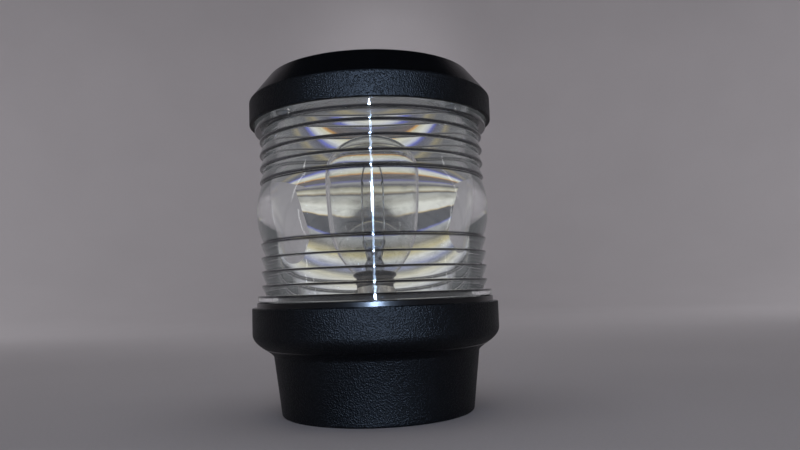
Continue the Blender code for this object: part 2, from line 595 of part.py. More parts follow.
def make_carrier():
    under = CARRIER_TOP_Z - CARRIER_PLATE
    hole_r = HOLDER_R + GAP
    carrier = turned("lamp_carrier",
                     [(hole_r, CARRIER_TOP_Z), (CARRIER_R - EDGE_ROUND, CARRIER_TOP_Z),
                      (CARRIER_R, CARRIER_TOP_Z - EDGE_ROUND), (CARRIER_R, CARRIER_BOTTOM_Z),
                      (CARRIER_R - CARRIER_SKIRT_WALL, CARRIER_BOTTOM_Z),
                      (CARRIER_R - CARRIER_SKIRT_WALL, under), (hole_r, under)],
                     LARGE_ROUND, "smooth_black")
    places = [polar(PILLAR_PITCH_R, a) for a in PILLAR_ANGLES]
    join(carrier, rods("carrier_bosses", places, CARRIER_BOSS_R, CARRIER_BOTTOM_Z,
                       under + CARRIER_PLATE / 2))
    cut(carrier, rods("carrier_screw_holes", places, CARRIER_SCREW[2] + GAP,
                      CARRIER_BOTTOM_Z - 1.0 * MM, CARRIER_TOP_Z + 1.0 * MM, TINY_ROUND))
    cut(carrier, rods("carrier_screw_recesses", places, CARRIER_SCREW[0] + GAP,
                      carrier_screw_z() - GAP, CARRIER_TOP_Z + 1.0 * MM))
    holder_places = [polar(HOLDER_SCREW_PITCH_R, a) for a in HOLDER_SCREW_ANGLES]
    cut(carrier, rods("holder_screw_pilots", holder_places, HOLDER_SCREW[2] + GAP,
                      under - 1.0 * MM, CARRIER_TOP_Z - 0.5 * MM, TINY_ROUND))
    for number, place in enumerate(places, 1):
        screw(f"carrier_screw_{number}", CARRIER_SCREW, (place.x, place.y, carrier_screw_z()),
              "steel")


def make_holder():
    lip_r = HOLDER_INNER_R - 1.2 * MM
    shell = turned("holder_shell",
                   [(HOLDER_INNER_R, HOLDER_TOP_Z), (HOLDER_R, HOLDER_TOP_Z),
                    (HOLDER_R, HOLDER_FLANGE_TOP_Z), (HOLDER_FLANGE_R, HOLDER_FLANGE_TOP_Z),
                    (HOLDER_FLANGE_R, HOLDER_FLANGE_Z), (HOLDER_R, HOLDER_FLANGE_Z),
                    (HOLDER_R, HOLDER_BOTTOM_Z), (lip_r, HOLDER_BOTTOM_Z),
                    (lip_r, HOLDER_BOTTOM_Z + HOLDER_WALL),
                    (HOLDER_INNER_R, HOLDER_BOTTOM_Z + HOLDER_WALL)],
                   MEDIUM_ROUND, "nickel")
    half_slot = SLOT_HALF / HOLDER_INNER_R * 1.05
    inner, outer = SHELL_R - 1.0 * MM, HOLDER_R + 1.0 * MM
    arms = [(a - half_slot, a + BULB_TURN + half_slot) for a in (0.0, math.pi)]
    entries = [(a + BULB_TURN - half_slot, a + BULB_TURN + half_slot) for a in (0.0, math.pi)]
    arm_bottom = BULB_PIN_Z - PUSH_TRAVEL - SLOT_HALF
    cut(shell, sectors("bayonet_arms", inner, outer, arm_bottom, BULB_PIN_Z + SLOT_HALF, arms))
    cut(shell, sectors("bayonet_entries", inner, outer, BULB_PIN_Z, HOLDER_TOP_Z + 1.0 * MM,
                       entries))
    places = [polar(HOLDER_SCREW_PITCH_R, a) for a in HOLDER_SCREW_ANGLES]
    cut(shell, rods("holder_flange_holes", places, HOLDER_SCREW[2] + GAP,
                    HOLDER_FLANGE_Z - 1.0 * MM, HOLDER_FLANGE_TOP_Z + 1.0 * MM, TINY_ROUND))
    for number, place in enumerate(places, 1):
        screw(f"holder_screw_{number}", HOLDER_SCREW, (place.x, place.y, HOLDER_FLANGE_Z - GAP),
              "steel", upwards=True, segments=TINY_ROUND)

    disc_r = HOLDER_INNER_R - GAP
    back = turned("holder_back",
                  [(0.0, HOLDER_BACK_TOP_Z), (disc_r, HOLDER_BACK_TOP_Z),
                   (disc_r, HOLDER_BACK_Z), (0.0, HOLDER_BACK_Z)],
                  MEDIUM_ROUND, "phenolic", closed=False)
    cut(back, rods("back_holes", contact_places(), CONTACT_R + GAP, HOLDER_BACK_Z - 1.0 * MM,
                   HOLDER_BACK_TOP_Z + 1.0 * MM, TINY_ROUND))


def contact_places():
    return [(0.0, side * CONTACT_OFFSET) for side in (1, -1)]


def make_contacts():
    disc_r = HOLDER_INNER_R - GAP
    carrier = turned("contact_block",
                     [(0.0, CONTACT_BLOCK_TOP_Z), (disc_r - EDGE_ROUND, CONTACT_BLOCK_TOP_Z),
                      (disc_r, CONTACT_BLOCK_TOP_Z - EDGE_ROUND), (disc_r, CONTACT_BLOCK_Z),
                      (0.0, CONTACT_BLOCK_Z)],
                     MEDIUM_ROUND, "phenolic", closed=False)
    cut(carrier, rods("contact_holes", contact_places(), CONTACT_R + GAP,
                      CONTACT_BLOCK_Z - 1.0 * MM, CONTACT_BLOCK_TOP_Z + 1.0 * MM, TINY_ROUND))
    for number, (x, y) in enumerate(contact_places(), 1):
        head_z = CONTACT_TOP_Z - CONTACT_HEAD_HEIGHT
        turned(f"contact_pin_{number}",
               [(0.0, CONTACT_TOP_Z), (0.6 * CONTACT_HEAD_R, CONTACT_TOP_Z),
                (CONTACT_HEAD_R, CONTACT_TOP_Z - 0.4 * CONTACT_HEAD_HEIGHT),
                (CONTACT_HEAD_R, head_z), (CONTACT_R, head_z), (CONTACT_R, CONTACT_BOTTOM_Z),
                (0.0, CONTACT_BOTTOM_Z)],
               TINY_ROUND, "brass", closed=False, location=(x, y, 0.0))
    coil_r = HOLDER_INNER_R - SPRING_WIRE_R - 0.5 * MM
    points_per_turn = 12
    steps = SPRING_TURNS * points_per_turn
    low, high = SPRING_BOTTOM_Z + SPRING_WIRE_R, SPRING_TOP_Z - SPRING_WIRE_R
    path = [polar(coil_r, math.tau * i / points_per_turn, low + (high - low) * i / steps)
            for i in range(steps + 1)]
    wire("contact_spring", path, SPRING_WIRE_R, "steel", resolution=0)


# ---------------------------------------------------------------- lens unit

def lens_outside():
    """The lens's stepped outer side from the upper flange down to the lower one."""
    crest, root = LENS_INNER_R + RING_CREST, LENS_INNER_R + RING_ROOT
    edges = [BELT_HALF_HEIGHT]
    for height in RING_HEIGHTS:
        edges.append(edges[-1] + height)
    upper = []
    for low, high in zip(edges, edges[1:]):
        upper += [(crest, BELT_Z + low), (root, BELT_Z + high)]
    lower = [(r, 2 * BELT_Z - z) for r, z in upper]
    half_angle = math.degrees(math.asin(BELT_HALF_HEIGHT / BELT_CURVE_R))
    belt = arc(LENS_INNER_R + BELT_THICKNESS - BELT_CURVE_R, BELT_Z, BELT_CURVE_R,
               half_angle, -half_angle, 8)
    return list(reversed(upper)) + belt + lower


def make_lens():
    round_r = UPPER_FLANGE_R - 0.4 * MM
    profile = [(LENS_INNER_R - INNER_FLANGE_REACH, LENS_TOP_Z), (round_r, LENS_TOP_Z),
               (UPPER_FLANGE_R, LENS_TOP_Z - 0.4 * MM), (UPPER_FLANGE_R, UPPER_FLANGE_Z)]
    profile += lens_outside()
    profile += [(LOWER_FLANGE_R, LOWER_RINGS_Z), (LOWER_FLANGE_R, LENS_BOTTOM_Z),
                (SPIGOT_R, LENS_BOTTOM_Z), (SPIGOT_R, SPIGOT_BOTTOM_Z),
                (LENS_INNER_R, SPIGOT_BOTTOM_Z), (LENS_INNER_R, INNER_FLANGE_Z),
                (LENS_INNER_R - INNER_FLANGE_REACH, INNER_FLANGE_Z)]
    lens = turned("lens", profile, LARGE_ROUND, "clear_plastic")
    spans = [(a - LUG_HALF_ANGLE, a + LUG_HALF_ANGLE) for a in lug_centres()]
    join(lens, sectors("lens_lugs", SPIGOT_R - SPIGOT_WALL / 2, LUG_R, LUG_Z,
                       LUG_Z + LUG_HEIGHT, spans))
    places = [polar(CAP_SCREW_PITCH_R, a) for a in CAP_SCREW_ANGLES]
    cut(lens, rods("lens_screw_holes", places, CAP_SCREW[2] + ROUND_GAP,
                   INNER_FLANGE_Z - 1.0 * MM, LENS_TOP_Z + 1.0 * MM, TINY_ROUND))

    seal_r = BASE_BORE_R + SEAL_SECTION_R + 0.15 * MM
    seal_z = SEAL_SEAT_Z + GAP + SEAL_SECTION_R
    turned("lens_seal", arc(seal_r, seal_z, SEAL_SECTION_R, 90.0, -210.0, 5), LARGE_ROUND,
           "rubber")


def make_cap():
    inner_r = CAP_R - CAP_WALL
    ledge_r = GASKET_INNER_R
    roof_z = CAP_TOP_Z - CAP_ROOF
    shoulder_r = CAP_R - CAP_CHAMFER_RUN
    # the inner chamfer runs parallel to the outer one
    slope = CAP_CHAMFER_RUN / CAP_CHAMFER_RISE
    chamfer_top_r = shoulder_r - 0.9 * MM
    chamfer_z = roof_z - (ledge_r - chamfer_top_r) / slope
    cap = turned("cap",
                 [(0.0, CAP_TOP_Z), (shoulder_r - EDGE_ROUND, CAP_TOP_Z),
                  (shoulder_r + 0.4 * EDGE_ROUND, CAP_TOP_Z - 0.5 * EDGE_ROUND),
                  (CAP_R - 0.6 * EDGE_ROUND, CAP_SHOULDER_Z + 0.3 * EDGE_ROUND),
                  (CAP_R, CAP_SHOULDER_Z - EDGE_ROUND), (CAP_R, CAP_BOTTOM_Z + EDGE_ROUND / 2),
                  (CAP_R - EDGE_ROUND / 2, CAP_BOTTOM_Z), (inner_r, CAP_BOTTOM_Z),
                  (inner_r, CAP_LEDGE_Z), (ledge_r, CAP_LEDGE_Z), (ledge_r, chamfer_z),
                  (chamfer_top_r, roof_z), (0.0, roof_z)],
                 LARGE_ROUND, "grained_black", closed=False)
    places = [polar(CAP_SCREW_PITCH_R, a) for a in CAP_SCREW_ANGLES]
    join(cap, rods("cap_bosses", places, CAP_BOSS_R, CAP_BOSS_Z, roof_z + CAP_ROOF / 3))
    screw_top = cap_screw_z() + CAP_SCREW[3]
    cut(cap, rods("cap_pilots", places, CAP_SCREW[2] + GAP, CAP_BOSS_Z - 1.0 * MM,
                  screw_top + GAP, TINY_ROUND))
    shield_r = GASKET_INNER_R - 1.1 * MM
    shield = turned("heat_shield",
                    [(0.0, SHIELD_Z + SHIELD_THICKNESS), (shield_r, SHIELD_Z + SHIELD_THICKNESS),
                     (shield_r, SHIELD_Z), (0.0, SHIELD_Z)],
                    LARGE_ROUND, "aluminium", closed=False)
    cut(shield, rods("shield_holes", places, CAP_SCREW[2] + ROUND_GAP, SHIELD_Z - 1.0 * MM,
                     SHIELD_Z + SHIELD_THICKNESS + 1.0 * MM, TINY_ROUND))
    turned("cap_seal",
           [(GASKET_INNER_R, SHIELD_Z + GASKET_HEIGHT),
            (GASKET_INNER_R + GASKET_WIDTH, SHIELD_Z + GASKET_HEIGHT),
            (GASKET_INNER_R + GASKET_WIDTH, SHIELD_Z), (GASKET_INNER_R, SHIELD_Z)],
           LARGE_ROUND, "rubber")
    for number, place in enumerate(places, 1):
        screw(f"cap_screw_{number}", CAP_SCREW, (place.x, place.y, cap_screw_z()), "steel",
              upwards=True)


def cap_screw_z():
    """Underside of a cap screw's head, which bears on the lens's inner flange from below."""
    return INNER_FLANGE_Z - GAP


# ---------------------------------------------------------------- bulb

def glass_curve(inset):
    """The pear's section from its top down to the neck, set in by a wall."""
    globe_r = GLOBE_R - inset
    neck_r = SHELL_R - SHELL_WALL - GAP - inset
    neck_z = SKIRT_TOP_Z - 0.8 * MM
    dome_height = DOME_HEIGHT - inset
    dome = [(r, GLOBE_Z + z * dome_height / globe_r)
            for r, z in arc(0.0, 0.0, globe_r, 90.0, 0.0, 7)]
    dome[0] = (0.0, GLOBE_Z + dome_height)
    drop = GLOBE_Z - neck_z
    pear = bezier([(globe_r, GLOBE_Z), (globe_r, GLOBE_Z - 0.56 * drop),
                   (neck_r + 0.4 * (globe_r - neck_r), neck_z + 0.14 * drop),
                   (neck_r, neck_z)], 7)
    return dome + pear[1:] + [(neck_r, SKIRT_Z - 3.0 * MM)]


def make_bulb():
    outer = glass_curve(0.0)
    inner = glass_curve(GLASS_WALL)
    turned("bulb_glass", outer + list(reversed(inner)), MEDIUM_ROUND, "glass", closed=False)

    shell_inner = SHELL_R - SHELL_WALL
    flare_r = SHELL_R + SKIRT_FLARE
    shell = turned("bulb_shell",
                   [(flare_r - SHELL_WALL, SKIRT_TOP_Z), (flare_r, SKIRT_TOP_Z),
                    (flare_r, SKIRT_TOP_Z - 0.5 * MM), (SHELL_R, SKIRT_Z),
                    (SHELL_R, SHELL_BOTTOM_Z), (shell_inner, SHELL_BOTTOM_Z),
                    (shell_inner, SKIRT_Z + 0.3 * MM),
                    (flare_r - SHELL_WALL, SKIRT_TOP_Z - 0.3 * MM)],
                   MEDIUM_ROUND, "nickel")
    for number, side in ((1, 1), (2, -1)):
        reach = (SHELL_R - 1.4 * MM, SHELL_R + BULB_PIN_REACH)
        middle, length = sum(reach) / 2, reach[1] - reach[0]
        place = (side * middle, 0.0, BULB_PIN_Z)
        pin = lying_tube(f"bulb_pin_{number}", BULB_PIN_R, 0.0, length, place, "brass")
        pin.rotation_euler = (0.0, math.pi / 2, 0.0)
        hole = lying_tube(f"pin_hole_{number}", BULB_PIN_R + 0.25 * MM, 0.0, length, place, None)
        hole.rotation_euler = (0.0, math.pi / 2, 0.0)
        cut(shell, hole)

    base_r = shell_inner - GAP
    insulator = turned("bulb_insulator",
                       [(0.0, SHELL_BOTTOM_Z + INSULATOR_HEIGHT),
                        (base_r, SHELL_BOTTOM_Z + INSULATOR_HEIGHT),
                        (base_r, SHELL_BOTTOM_Z + 0.2 * MM), (0.0, SHELL_BOTTOM_Z + 0.2 * MM)],
                       SMALL_ROUND, "phenolic", closed=False)
    contact_hole = CONTACT_R + GAP
    cut(insulator, rods("insulator_holes", contact_places(), contact_hole,
                        SHELL_BOTTOM_Z - 1.0 * MM, SHELL_BOTTOM_Z + INSULATOR_HEIGHT + 1.0 * MM,
                        TINY_ROUND))
    for number, (x, y) in enumerate(contact_places(), 1):
        turned(f"solder_contact_{number}",
               [(0.0, SHELL_BOTTOM_Z + INSULATOR_HEIGHT),
                (CONTACT_R, SHELL_BOTTOM_Z + INSULATOR_HEIGHT), (CONTACT_R, SHELL_BOTTOM_Z),
                (0.5 * CONTACT_R, SHELL_BOTTOM_Z - GAP), (0.0, SHELL_BOTTOM_Z - GAP)],
               TINY_ROUND, "solder", closed=False, location=(x, y, 0.0))
    make_bulb_inside()


def make_bulb_inside():
    """The glass stem with its flat pinch, two lead wires and the filament."""
    foot_z = SKIRT_Z - 2.6 * MM
    pinch_z = GLOBE_Z - PINCH_BELOW_GLOBE
    foot_r = SHELL_R - SHELL_WALL - 2 * GAP - GLASS_WALL
    stem = turned("bulb_stem",
                  [(0.0, pinch_z + 0.5 * PINCH_HEIGHT), (1.4 * MM, pinch_z + 0.4 * PINCH_HEIGHT),
                   (2.6 * MM, pinch_z), (4.0 * MM, pinch_z - 3.4 * MM),
                   (3.7 * MM, pinch_z - 5.8 * MM), (foot_r, foot_z), (0.0, foot_z)],
                  SMALL_ROUND, "glass", closed=False)
    pinch = block("stem_pinch", (2 * LEAD_OFFSET + 1.4 * MM, 2.4 * MM, PINCH_HEIGHT),
                  (0.0, 0.0, pinch_z + PINCH_HEIGHT / 2), bevel=0.8 * MM)
    join(stem, pinch)
    low = pinch_z + PINCH_HEIGHT + GAP
    for number, side in ((1, 1), (2, -1)):
        points = [Vector((side * LEAD_OFFSET, 0.0, low)),
                  Vector((side * LEAD_OFFSET * 1.05, 0.0, (low + GLOBE_Z) / 2)),
                  Vector((side * LEAD_OFFSET, 0.0, GLOBE_Z))]
        wire(f"lead_wire_{number}", smooth_path(points, 3), LEAD_WIRE_R, "nickel")
    filament_z = GLOBE_Z + LEAD_WIRE_R + GAP
    steps = 8
    path = [Vector((LEAD_OFFSET * math.cos(math.pi * i / steps), 0.0,
                    filament_z + FILAMENT_R + FILAMENT_BOW * math.sin(math.pi * i / steps)))
            for i in range(steps + 1)]
    wire("filament", path, FILAMENT_R, "tungsten")


def main():
    for old in list(bpy.data.objects):
        bpy.data.objects.remove(old, do_unlink=True)
    make_base_housing()
    make_gland()
    make_terminals()
    make_wires()
    make_carrier()
    make_holder()
    make_contacts()
    make_lens()
    make_cap()
    make_bulb()


main()
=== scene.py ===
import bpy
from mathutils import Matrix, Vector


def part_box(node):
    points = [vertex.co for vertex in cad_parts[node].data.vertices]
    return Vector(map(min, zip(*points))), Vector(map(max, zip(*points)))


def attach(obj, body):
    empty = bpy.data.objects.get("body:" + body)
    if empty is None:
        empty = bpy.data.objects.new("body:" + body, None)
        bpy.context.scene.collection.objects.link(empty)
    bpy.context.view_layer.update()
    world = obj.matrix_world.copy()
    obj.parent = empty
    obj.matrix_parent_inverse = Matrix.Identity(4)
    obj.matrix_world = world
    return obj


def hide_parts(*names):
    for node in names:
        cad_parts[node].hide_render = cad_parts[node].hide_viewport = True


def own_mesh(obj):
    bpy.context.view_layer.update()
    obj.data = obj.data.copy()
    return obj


bl_info = {
    "name": "All-round navigation light",
    "version": (1, 0, 0),
    "blender": (4, 5, 0),
    "location": "3D View > Sidebar > Nav Light",
    "description": "Dresses the boat light's frame: stepped lens, grained housing, bulb",
    "category": "Object",
}

import math

import bpy
from mathutils import Matrix, Vector

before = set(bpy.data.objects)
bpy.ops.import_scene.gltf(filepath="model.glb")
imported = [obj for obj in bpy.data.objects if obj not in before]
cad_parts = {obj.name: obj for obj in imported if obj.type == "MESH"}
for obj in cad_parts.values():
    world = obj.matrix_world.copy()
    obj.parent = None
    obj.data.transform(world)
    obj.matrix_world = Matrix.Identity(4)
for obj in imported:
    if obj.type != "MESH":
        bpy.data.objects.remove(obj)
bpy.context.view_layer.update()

MM = 0.001
HOLD = 0.05         # millimetres beside a rounded corner where the flat face starts


def span(node):
    """A node's lowest and highest corners in millimetres."""
    low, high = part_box(node)
    return [v / MM for v in low], [v / MM for v in high]


def heights(node):
    return [corner[2] for corner in span(node)]


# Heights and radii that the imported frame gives, in millimetres
LENS_LOW, LENS_HIGH = span("lens")
HOUSING_HIGH = span("base_housing")[1]
CAP_LOW, CAP_HIGH = span("cap")
GLASS_HIGH = span("bulb_glass")[1]
SHELL_LOW, SHELL_HIGH = span("bulb_shell")
CARRIER_LOW, CARRIER_HIGH = span("lamp_carrier")

# The lens's own section
LENS_R = 40.0
SPIGOT_R = 41.5
LUG_R = 42.9
FLANGE_R = 46.0
LOWER_FLANGE_R = 45.8
CREST_R = 44.5
ROOT_R = 42.5
BELT_CENTRE_R = 15.6
BELT_CURVE_R = 30.0
BELT_HALF = 11.7
RING_HEIGHTS = (5.3, 5.3, 5.3, 4.1)
LENS_TOP = LENS_HIGH[2]
SPIGOT_BOTTOM = LENS_LOW[2]
LENS_BOTTOM = SPIGOT_BOTTOM + 7.9
RINGS_BOTTOM = LENS_BOTTOM + 2.3
BELT_Z = RINGS_BOTTOM + sum(RING_HEIGHTS) + BELT_HALF
UPPER_FLANGE = LENS_TOP - 7.9
INNER_FLANGE = LENS_TOP - 2.0
LUG_ANGLES = (90.0, 210.0, 330.0)
LUG_LOW, LUG_HIGH = SPIGOT_BOTTOM + 0.5, SPIGOT_BOTTOM + 2.7

# The housing's section
BORE_R = 43.2
SEAT_R = 45.3
COLLAR_R = 46.1
RING_R = 48.0
NECK_R = 40.0
FOOT_R = 37.2
WALL = 2.7
FLOOR = 4.0
NECK_Z = 22.5
COLLAR_TOP = HOUSING_HIGH[2]
RING_TOP = COLLAR_TOP - 1.9
RING_BOTTOM = RING_TOP - 9.8
TAB_LOW = LUG_HIGH + 0.3
TAB_HIGH = TAB_LOW + 2.0
SEAT_Z = TAB_HIGH + 0.2
PILLAR_ANGLES = (30.0, 150.0, 270.0)
PILLAR_PITCH_R = 31.0
PILLAR_TOP = CARRIER_LOW[2] - 0.3
DECK_PITCH_R = 27.0
GLAND_Y = 13.0
GLAND_PLACE = (0.0, GLAND_Y)
GLAND_HOLE_R = 6.3
BLOCK_Y = -14.0
CLAMP_X = 6.0

# Cap, carrier and bulb
PAINTED_CREST_SHADE = 1.0               # half the height of the painted shade line on each ring's crest
CAP_R = 48.0
CAP_SCREW_R = 35.5
SHIELD_Z = LENS_TOP + 0.3
CARRIER_R = 38.2
GLOBE_R = GLASS_HIGH[0]
DOME = 16.0
GLOBE_Z = GLASS_HIGH[2] - DOME
SHELL_R = 7.5
SKIRT_TOP = SHELL_HIGH[2]
SKIRT_Z = SKIRT_TOP - 1.5
PIN_Z = SHELL_LOW[2] + 6.0
HOLDER_R = 8.1
HOLDER_TOP = PIN_Z + 2.1
HOLDER_BOTTOM = heights("holder_shell")[0]
LEAD_X = 4.2
CONTACT_Y = 3.3
CONTACT_PLACES = ((0.0, CONTACT_Y), (0.0, -CONTACT_Y))
CONTACT_HOLE_R = 1.3
HOLDER_FLANGE_R = 13.0
HOLDER_SCREW_ANGLES = (90.0, 270.0)
PILOT_R = 1.7                   # under the screws' threads
SCREW_HOLE_R = 1.8


# ---------------------------------------------------------------- settings in the sidebar

def length(name, about, size, low, high):
    """A length setting, its sizes given in millimetres."""
    return bpy.props.FloatProperty(name=name, description=about, default=size * MM,
                                   min=low * MM, max=high * MM, subtype="DISTANCE",
                                   unit="LENGTH", precision=5)


def colour(name, about, tone):
    return bpy.props.FloatVectorProperty(name=name, description=about, subtype="COLOR", size=3,
                                         default=tone, min=0.0, max=1.0)


def power(name, about, watts, high):
    return bpy.props.FloatProperty(name=name, description=about, default=watts, min=0.0,
                                   max=high, subtype="POWER", unit="POWER")


class NavLightShape(bpy.types.PropertyGroup):
    crest_round: length("Ring edge rounding", "Rounding of each lens ring's outer edge",
                        0.55, 0.05, 0.9)
    root_round: length("Ring root rounding", "Rounding in the corner under each lens ring",
                       0.16, 0.02, 0.5)
    cap_round: length("Cap edge rounding", "Rounding of the cap's shoulder", 1.3, 0.2, 2.0)
    turn_steps: bpy.props.IntProperty(
        name="Steps round the lens", description="Faces round the lens and the black mouldings",
        default=224, min=48, max=360)
    filament_turns: bpy.props.IntProperty(
        name="Filament turns", description="Turns in the filament's coil", default=44, min=8,
        max=90)


class NavLightFinish(bpy.types.PropertyGroup):
    black: colour("Black moulding", "Colour of the housing and the cap", (0.0025, 0.003, 0.005))
    grain_size: length("Grain size", "Size of one pebble of the moulded grain", 0.62, 0.3, 3.0)
    grain_depth: length("Grain depth", "Height of the moulded grain", 0.24, 0.0, 0.5)
    lens_tint: colour("Lens tint", "Colour of the clear lens", (0.975, 0.985, 0.985))
    sleeve_red: colour("Positive lead", "Colour of the positive lead's sleeve",
                       (0.42, 0.015, 0.012))


class NavLightStage(bpy.types.PropertyGroup):
    floor_colour: colour("Floor", "Colour of the pale floor and backdrop", (0.62, 0.59, 0.62))
    lens_length: bpy.props.FloatProperty(
        name="Camera lens", description="Focal length of the camera on a 36 mm sensor",
        default=31.5, min=10.0, max=200.0)
    key_power: power("Front light", "Power of the narrow light beside the camera", 5.0, 100.0)
    wall_power: power("Backdrop light", "Power of each light on the backdrop", 1.55, 200.0)


# ---------------------------------------------------------------- modelling steps

def deselect():
    if bpy.context.object and bpy.context.object.mode != "OBJECT":
        bpy.ops.object.mode_set(mode="OBJECT")
    bpy.ops.object.select_all(action="DESELECT")


def make_active(piece):
    deselect()
    piece.select_set(True)
    bpy.context.view_layer.objects.active = piece


def settle(piece):
    """Leaves a piece at the origin, with its place in its mesh."""
    make_active(piece)
    bpy.ops.object.transform_apply(location=True, rotation=True, scale=True)


def smooth(piece, angle=35.0):
    make_active(piece)
    bpy.ops.object.shade_smooth_by_angle(angle=math.radians(angle))


def clean(piece, merge=0.0004):
    """Merges doubles and turns the faces outwards."""
    make_active(piece)
    bpy.ops.object.mode_set(mode="EDIT")
    bpy.ops.mesh.select_all(action="SELECT")
    bpy.ops.mesh.remove_doubles(threshold=merge * MM)
    bpy.ops.mesh.normals_make_consistent(inside=False)
    bpy.ops.object.mode_set(mode="OBJECT")


def soften(corners, closed=True, steps=3):
    """Corners as (radius, height, rounding) become an outline with rounded corners."""
    outline, count = [], len(corners)
    for i, (r, z, fillet) in enumerate(corners):
        here = Vector((r, z))
        if not fillet or (not closed and i in (0, count - 1)):
            outline.append(here)
            continue
        before = Vector(corners[i - 1][:2]) - here
        after = Vector(corners[(i + 1) % count][:2]) - here
        reach = min(fillet / math.tan(before.angle(after) / 2), 0.46 * before.length,
                    0.46 * after.length)
        into, onward = before.normalized(), after.normalized()
        a, b = here + into * reach, here + onward * reach
        if before.length > 3 * reach:
            outline.append(a + into * HOLD)
        for k in range(steps + 1):
            t = k / steps
            outline.append(a * (1 - t) ** 2 + here * (2 * t * (1 - t)) + b * t * t)
        if after.length > 3 * reach:
            outline.append(b + onward * HOLD)
    return outline


def curve_between(points, steps):
    """Points of a Bezier curve through four control points."""
    p = [Vector(q) for q in points]
    return [p[0] * (1 - t) ** 3 + p[1] * (3 * t * (1 - t) ** 2) + p[2] * (3 * t * t * (1 - t))
            + p[3] * t ** 3 for t in (i / steps for i in range(steps + 1))]


def arc_points(centre_r, centre_z, radius, start, end, steps):
    angles = [math.radians(start + (end - start) * i / steps) for i in range(steps + 1)]
    return [Vector((centre_r + radius * math.cos(a), centre_z + radius * math.sin(a)))
            for a in angles]


def draw_outline(name, outline, closed):
    """Draws an outline of (radius, height) points in millimetres, edge by edge."""
    deselect()
    bpy.ops.mesh.primitive_plane_add(size=MM, location=(0, 0, 0))
    piece = bpy.context.active_object
    piece.name = name
    bpy.ops.object.mode_set(mode="EDIT")
    bpy.ops.mesh.select_all(action="SELECT")
    bpy.ops.mesh.merge(type="CENTER")
    bpy.ops.transform.translate(value=(outline[0].x * MM, 0, outline[0].y * MM))
    following = outline[1:] + (outline[:1] if closed else [])
    for a, b in zip(outline, following):
        bpy.ops.mesh.extrude_region_move(
            TRANSFORM_OT_translate={"value": ((b.x - a.x) * MM, 0, (b.y - a.y) * MM)})
    return piece


def turn(name, outline, steps=None, closed=True, arc=360.0, start=0.0, centre=(0.0, 0.0),
         angle=35.0, corner_steps=3):
    """Spins an outline round the upright axis; part of a turn gets its ends filled.

    An outline of (radius, height, rounding) corners is rounded first.
    """
    if len(outline[0]) == 3:
        outline = soften(outline, closed, corner_steps)
    piece = draw_outline(name, outline, closed)
    bpy.ops.mesh.select_all(action="SELECT")
    bpy.ops.mesh.remove_doubles(threshold=0.0004 * MM)
    steps = steps or bpy.context.scene.nav_shape.turn_steps
    bpy.ops.mesh.spin(steps=steps, angle=math.radians(arc), center=(0, 0, 0), axis=(0, 0, 1))
    bpy.ops.mesh.select_all(action="SELECT")
    bpy.ops.mesh.remove_doubles(threshold=0.0004 * MM)
    if arc < 360.0:
        bpy.ops.mesh.fill_holes(sides=0)
    bpy.ops.mesh.normals_make_consistent(inside=False)
    bpy.ops.object.mode_set(mode="OBJECT")
    if arc < 360.0:
        angles = [math.degrees(math.atan2(v.co.y, v.co.x)) for v in piece.data.vertices]
        piece.rotation_euler.z = math.radians(start - min(angles))
    piece.location = (centre[0] * MM, centre[1] * MM, 0.0)
    settle(piece)
    smooth(piece, angle)
    return piece


def rod(name, x, y, radius, low, high, sides=40):
    """An upright round bar, used as a tool or to be joined to a moulding."""
    deselect()
    bpy.ops.mesh.primitive_cylinder_add(
        vertices=sides, radius=radius * MM, depth=(high - low) * MM,
        location=(x * MM, y * MM, (low + high) / 2 * MM))
    piece = bpy.context.active_object
    piece.name = name
    settle(piece)
    return piece


def bar(name, size, centre, turn_z=0.0):
    """A squared bar, used as a tool."""
    deselect()
    bpy.ops.mesh.primitive_cube_add(size=1.0, location=[v * MM for v in centre])
    piece = bpy.context.active_object
    piece.name = name
    piece.scale = [v * MM for v in size]
    make_active(piece)
    bpy.ops.object.transform_apply(location=False, rotation=False, scale=True)
    piece.rotation_euler.z = math.radians(turn_z)
    settle(piece)
    return piece


def carve(piece, tool, operation="DIFFERENCE"):
    """Cuts a tool from a piece, or joins it on, and takes the tool away."""
    modifier = piece.modifiers.new("carve", "BOOLEAN")
    modifier.operation, modifier.solver, modifier.object = operation, "EXACT", tool
    make_active(piece)
    bpy.ops.object.modifier_apply(modifier=modifier.name)
    bpy.data.objects.remove(tool, do_unlink=True)


def drill(piece, places, radius, low, high, sides=40, operation="DIFFERENCE"):
    """Takes upright round bars out of a piece at (x, y) places, or joins them on."""
    for x, y in places:
        carve(piece, rod("bar", x, y, radius, low, high, sides), operation)


def round_edges(piece, width, segments=2, angle=40.0):
    modifier = piece.modifiers.new("edges", "BEVEL")
    modifier.width, modifier.segments = width * MM, segments
    modifier.limit_method, modifier.angle_limit = "ANGLE", math.radians(angle)
    make_active(piece)
    bpy.ops.object.modifier_apply(modifier=modifier.name)


def polar(radius, degrees):
    a = math.radians(degrees)
    return radius * math.cos(a), radius * math.sin(a)


def around(radius, angles):
    return [polar(radius, angle) for angle in angles]


def duplicate(piece, name, location=(0, 0, 0), rotation=(0, 0, 0)):
    """A copy with its own mesh, moved and turned from where the first one is."""
    make_active(piece)
    bpy.ops.object.duplicate(linked=False)
    copy = bpy.context.active_object
    copy.name = name
    copy.location = [v * MM for v in location]
    copy.rotation_euler = [math.radians(v) for v in rotation]
    settle(copy)
    return copy


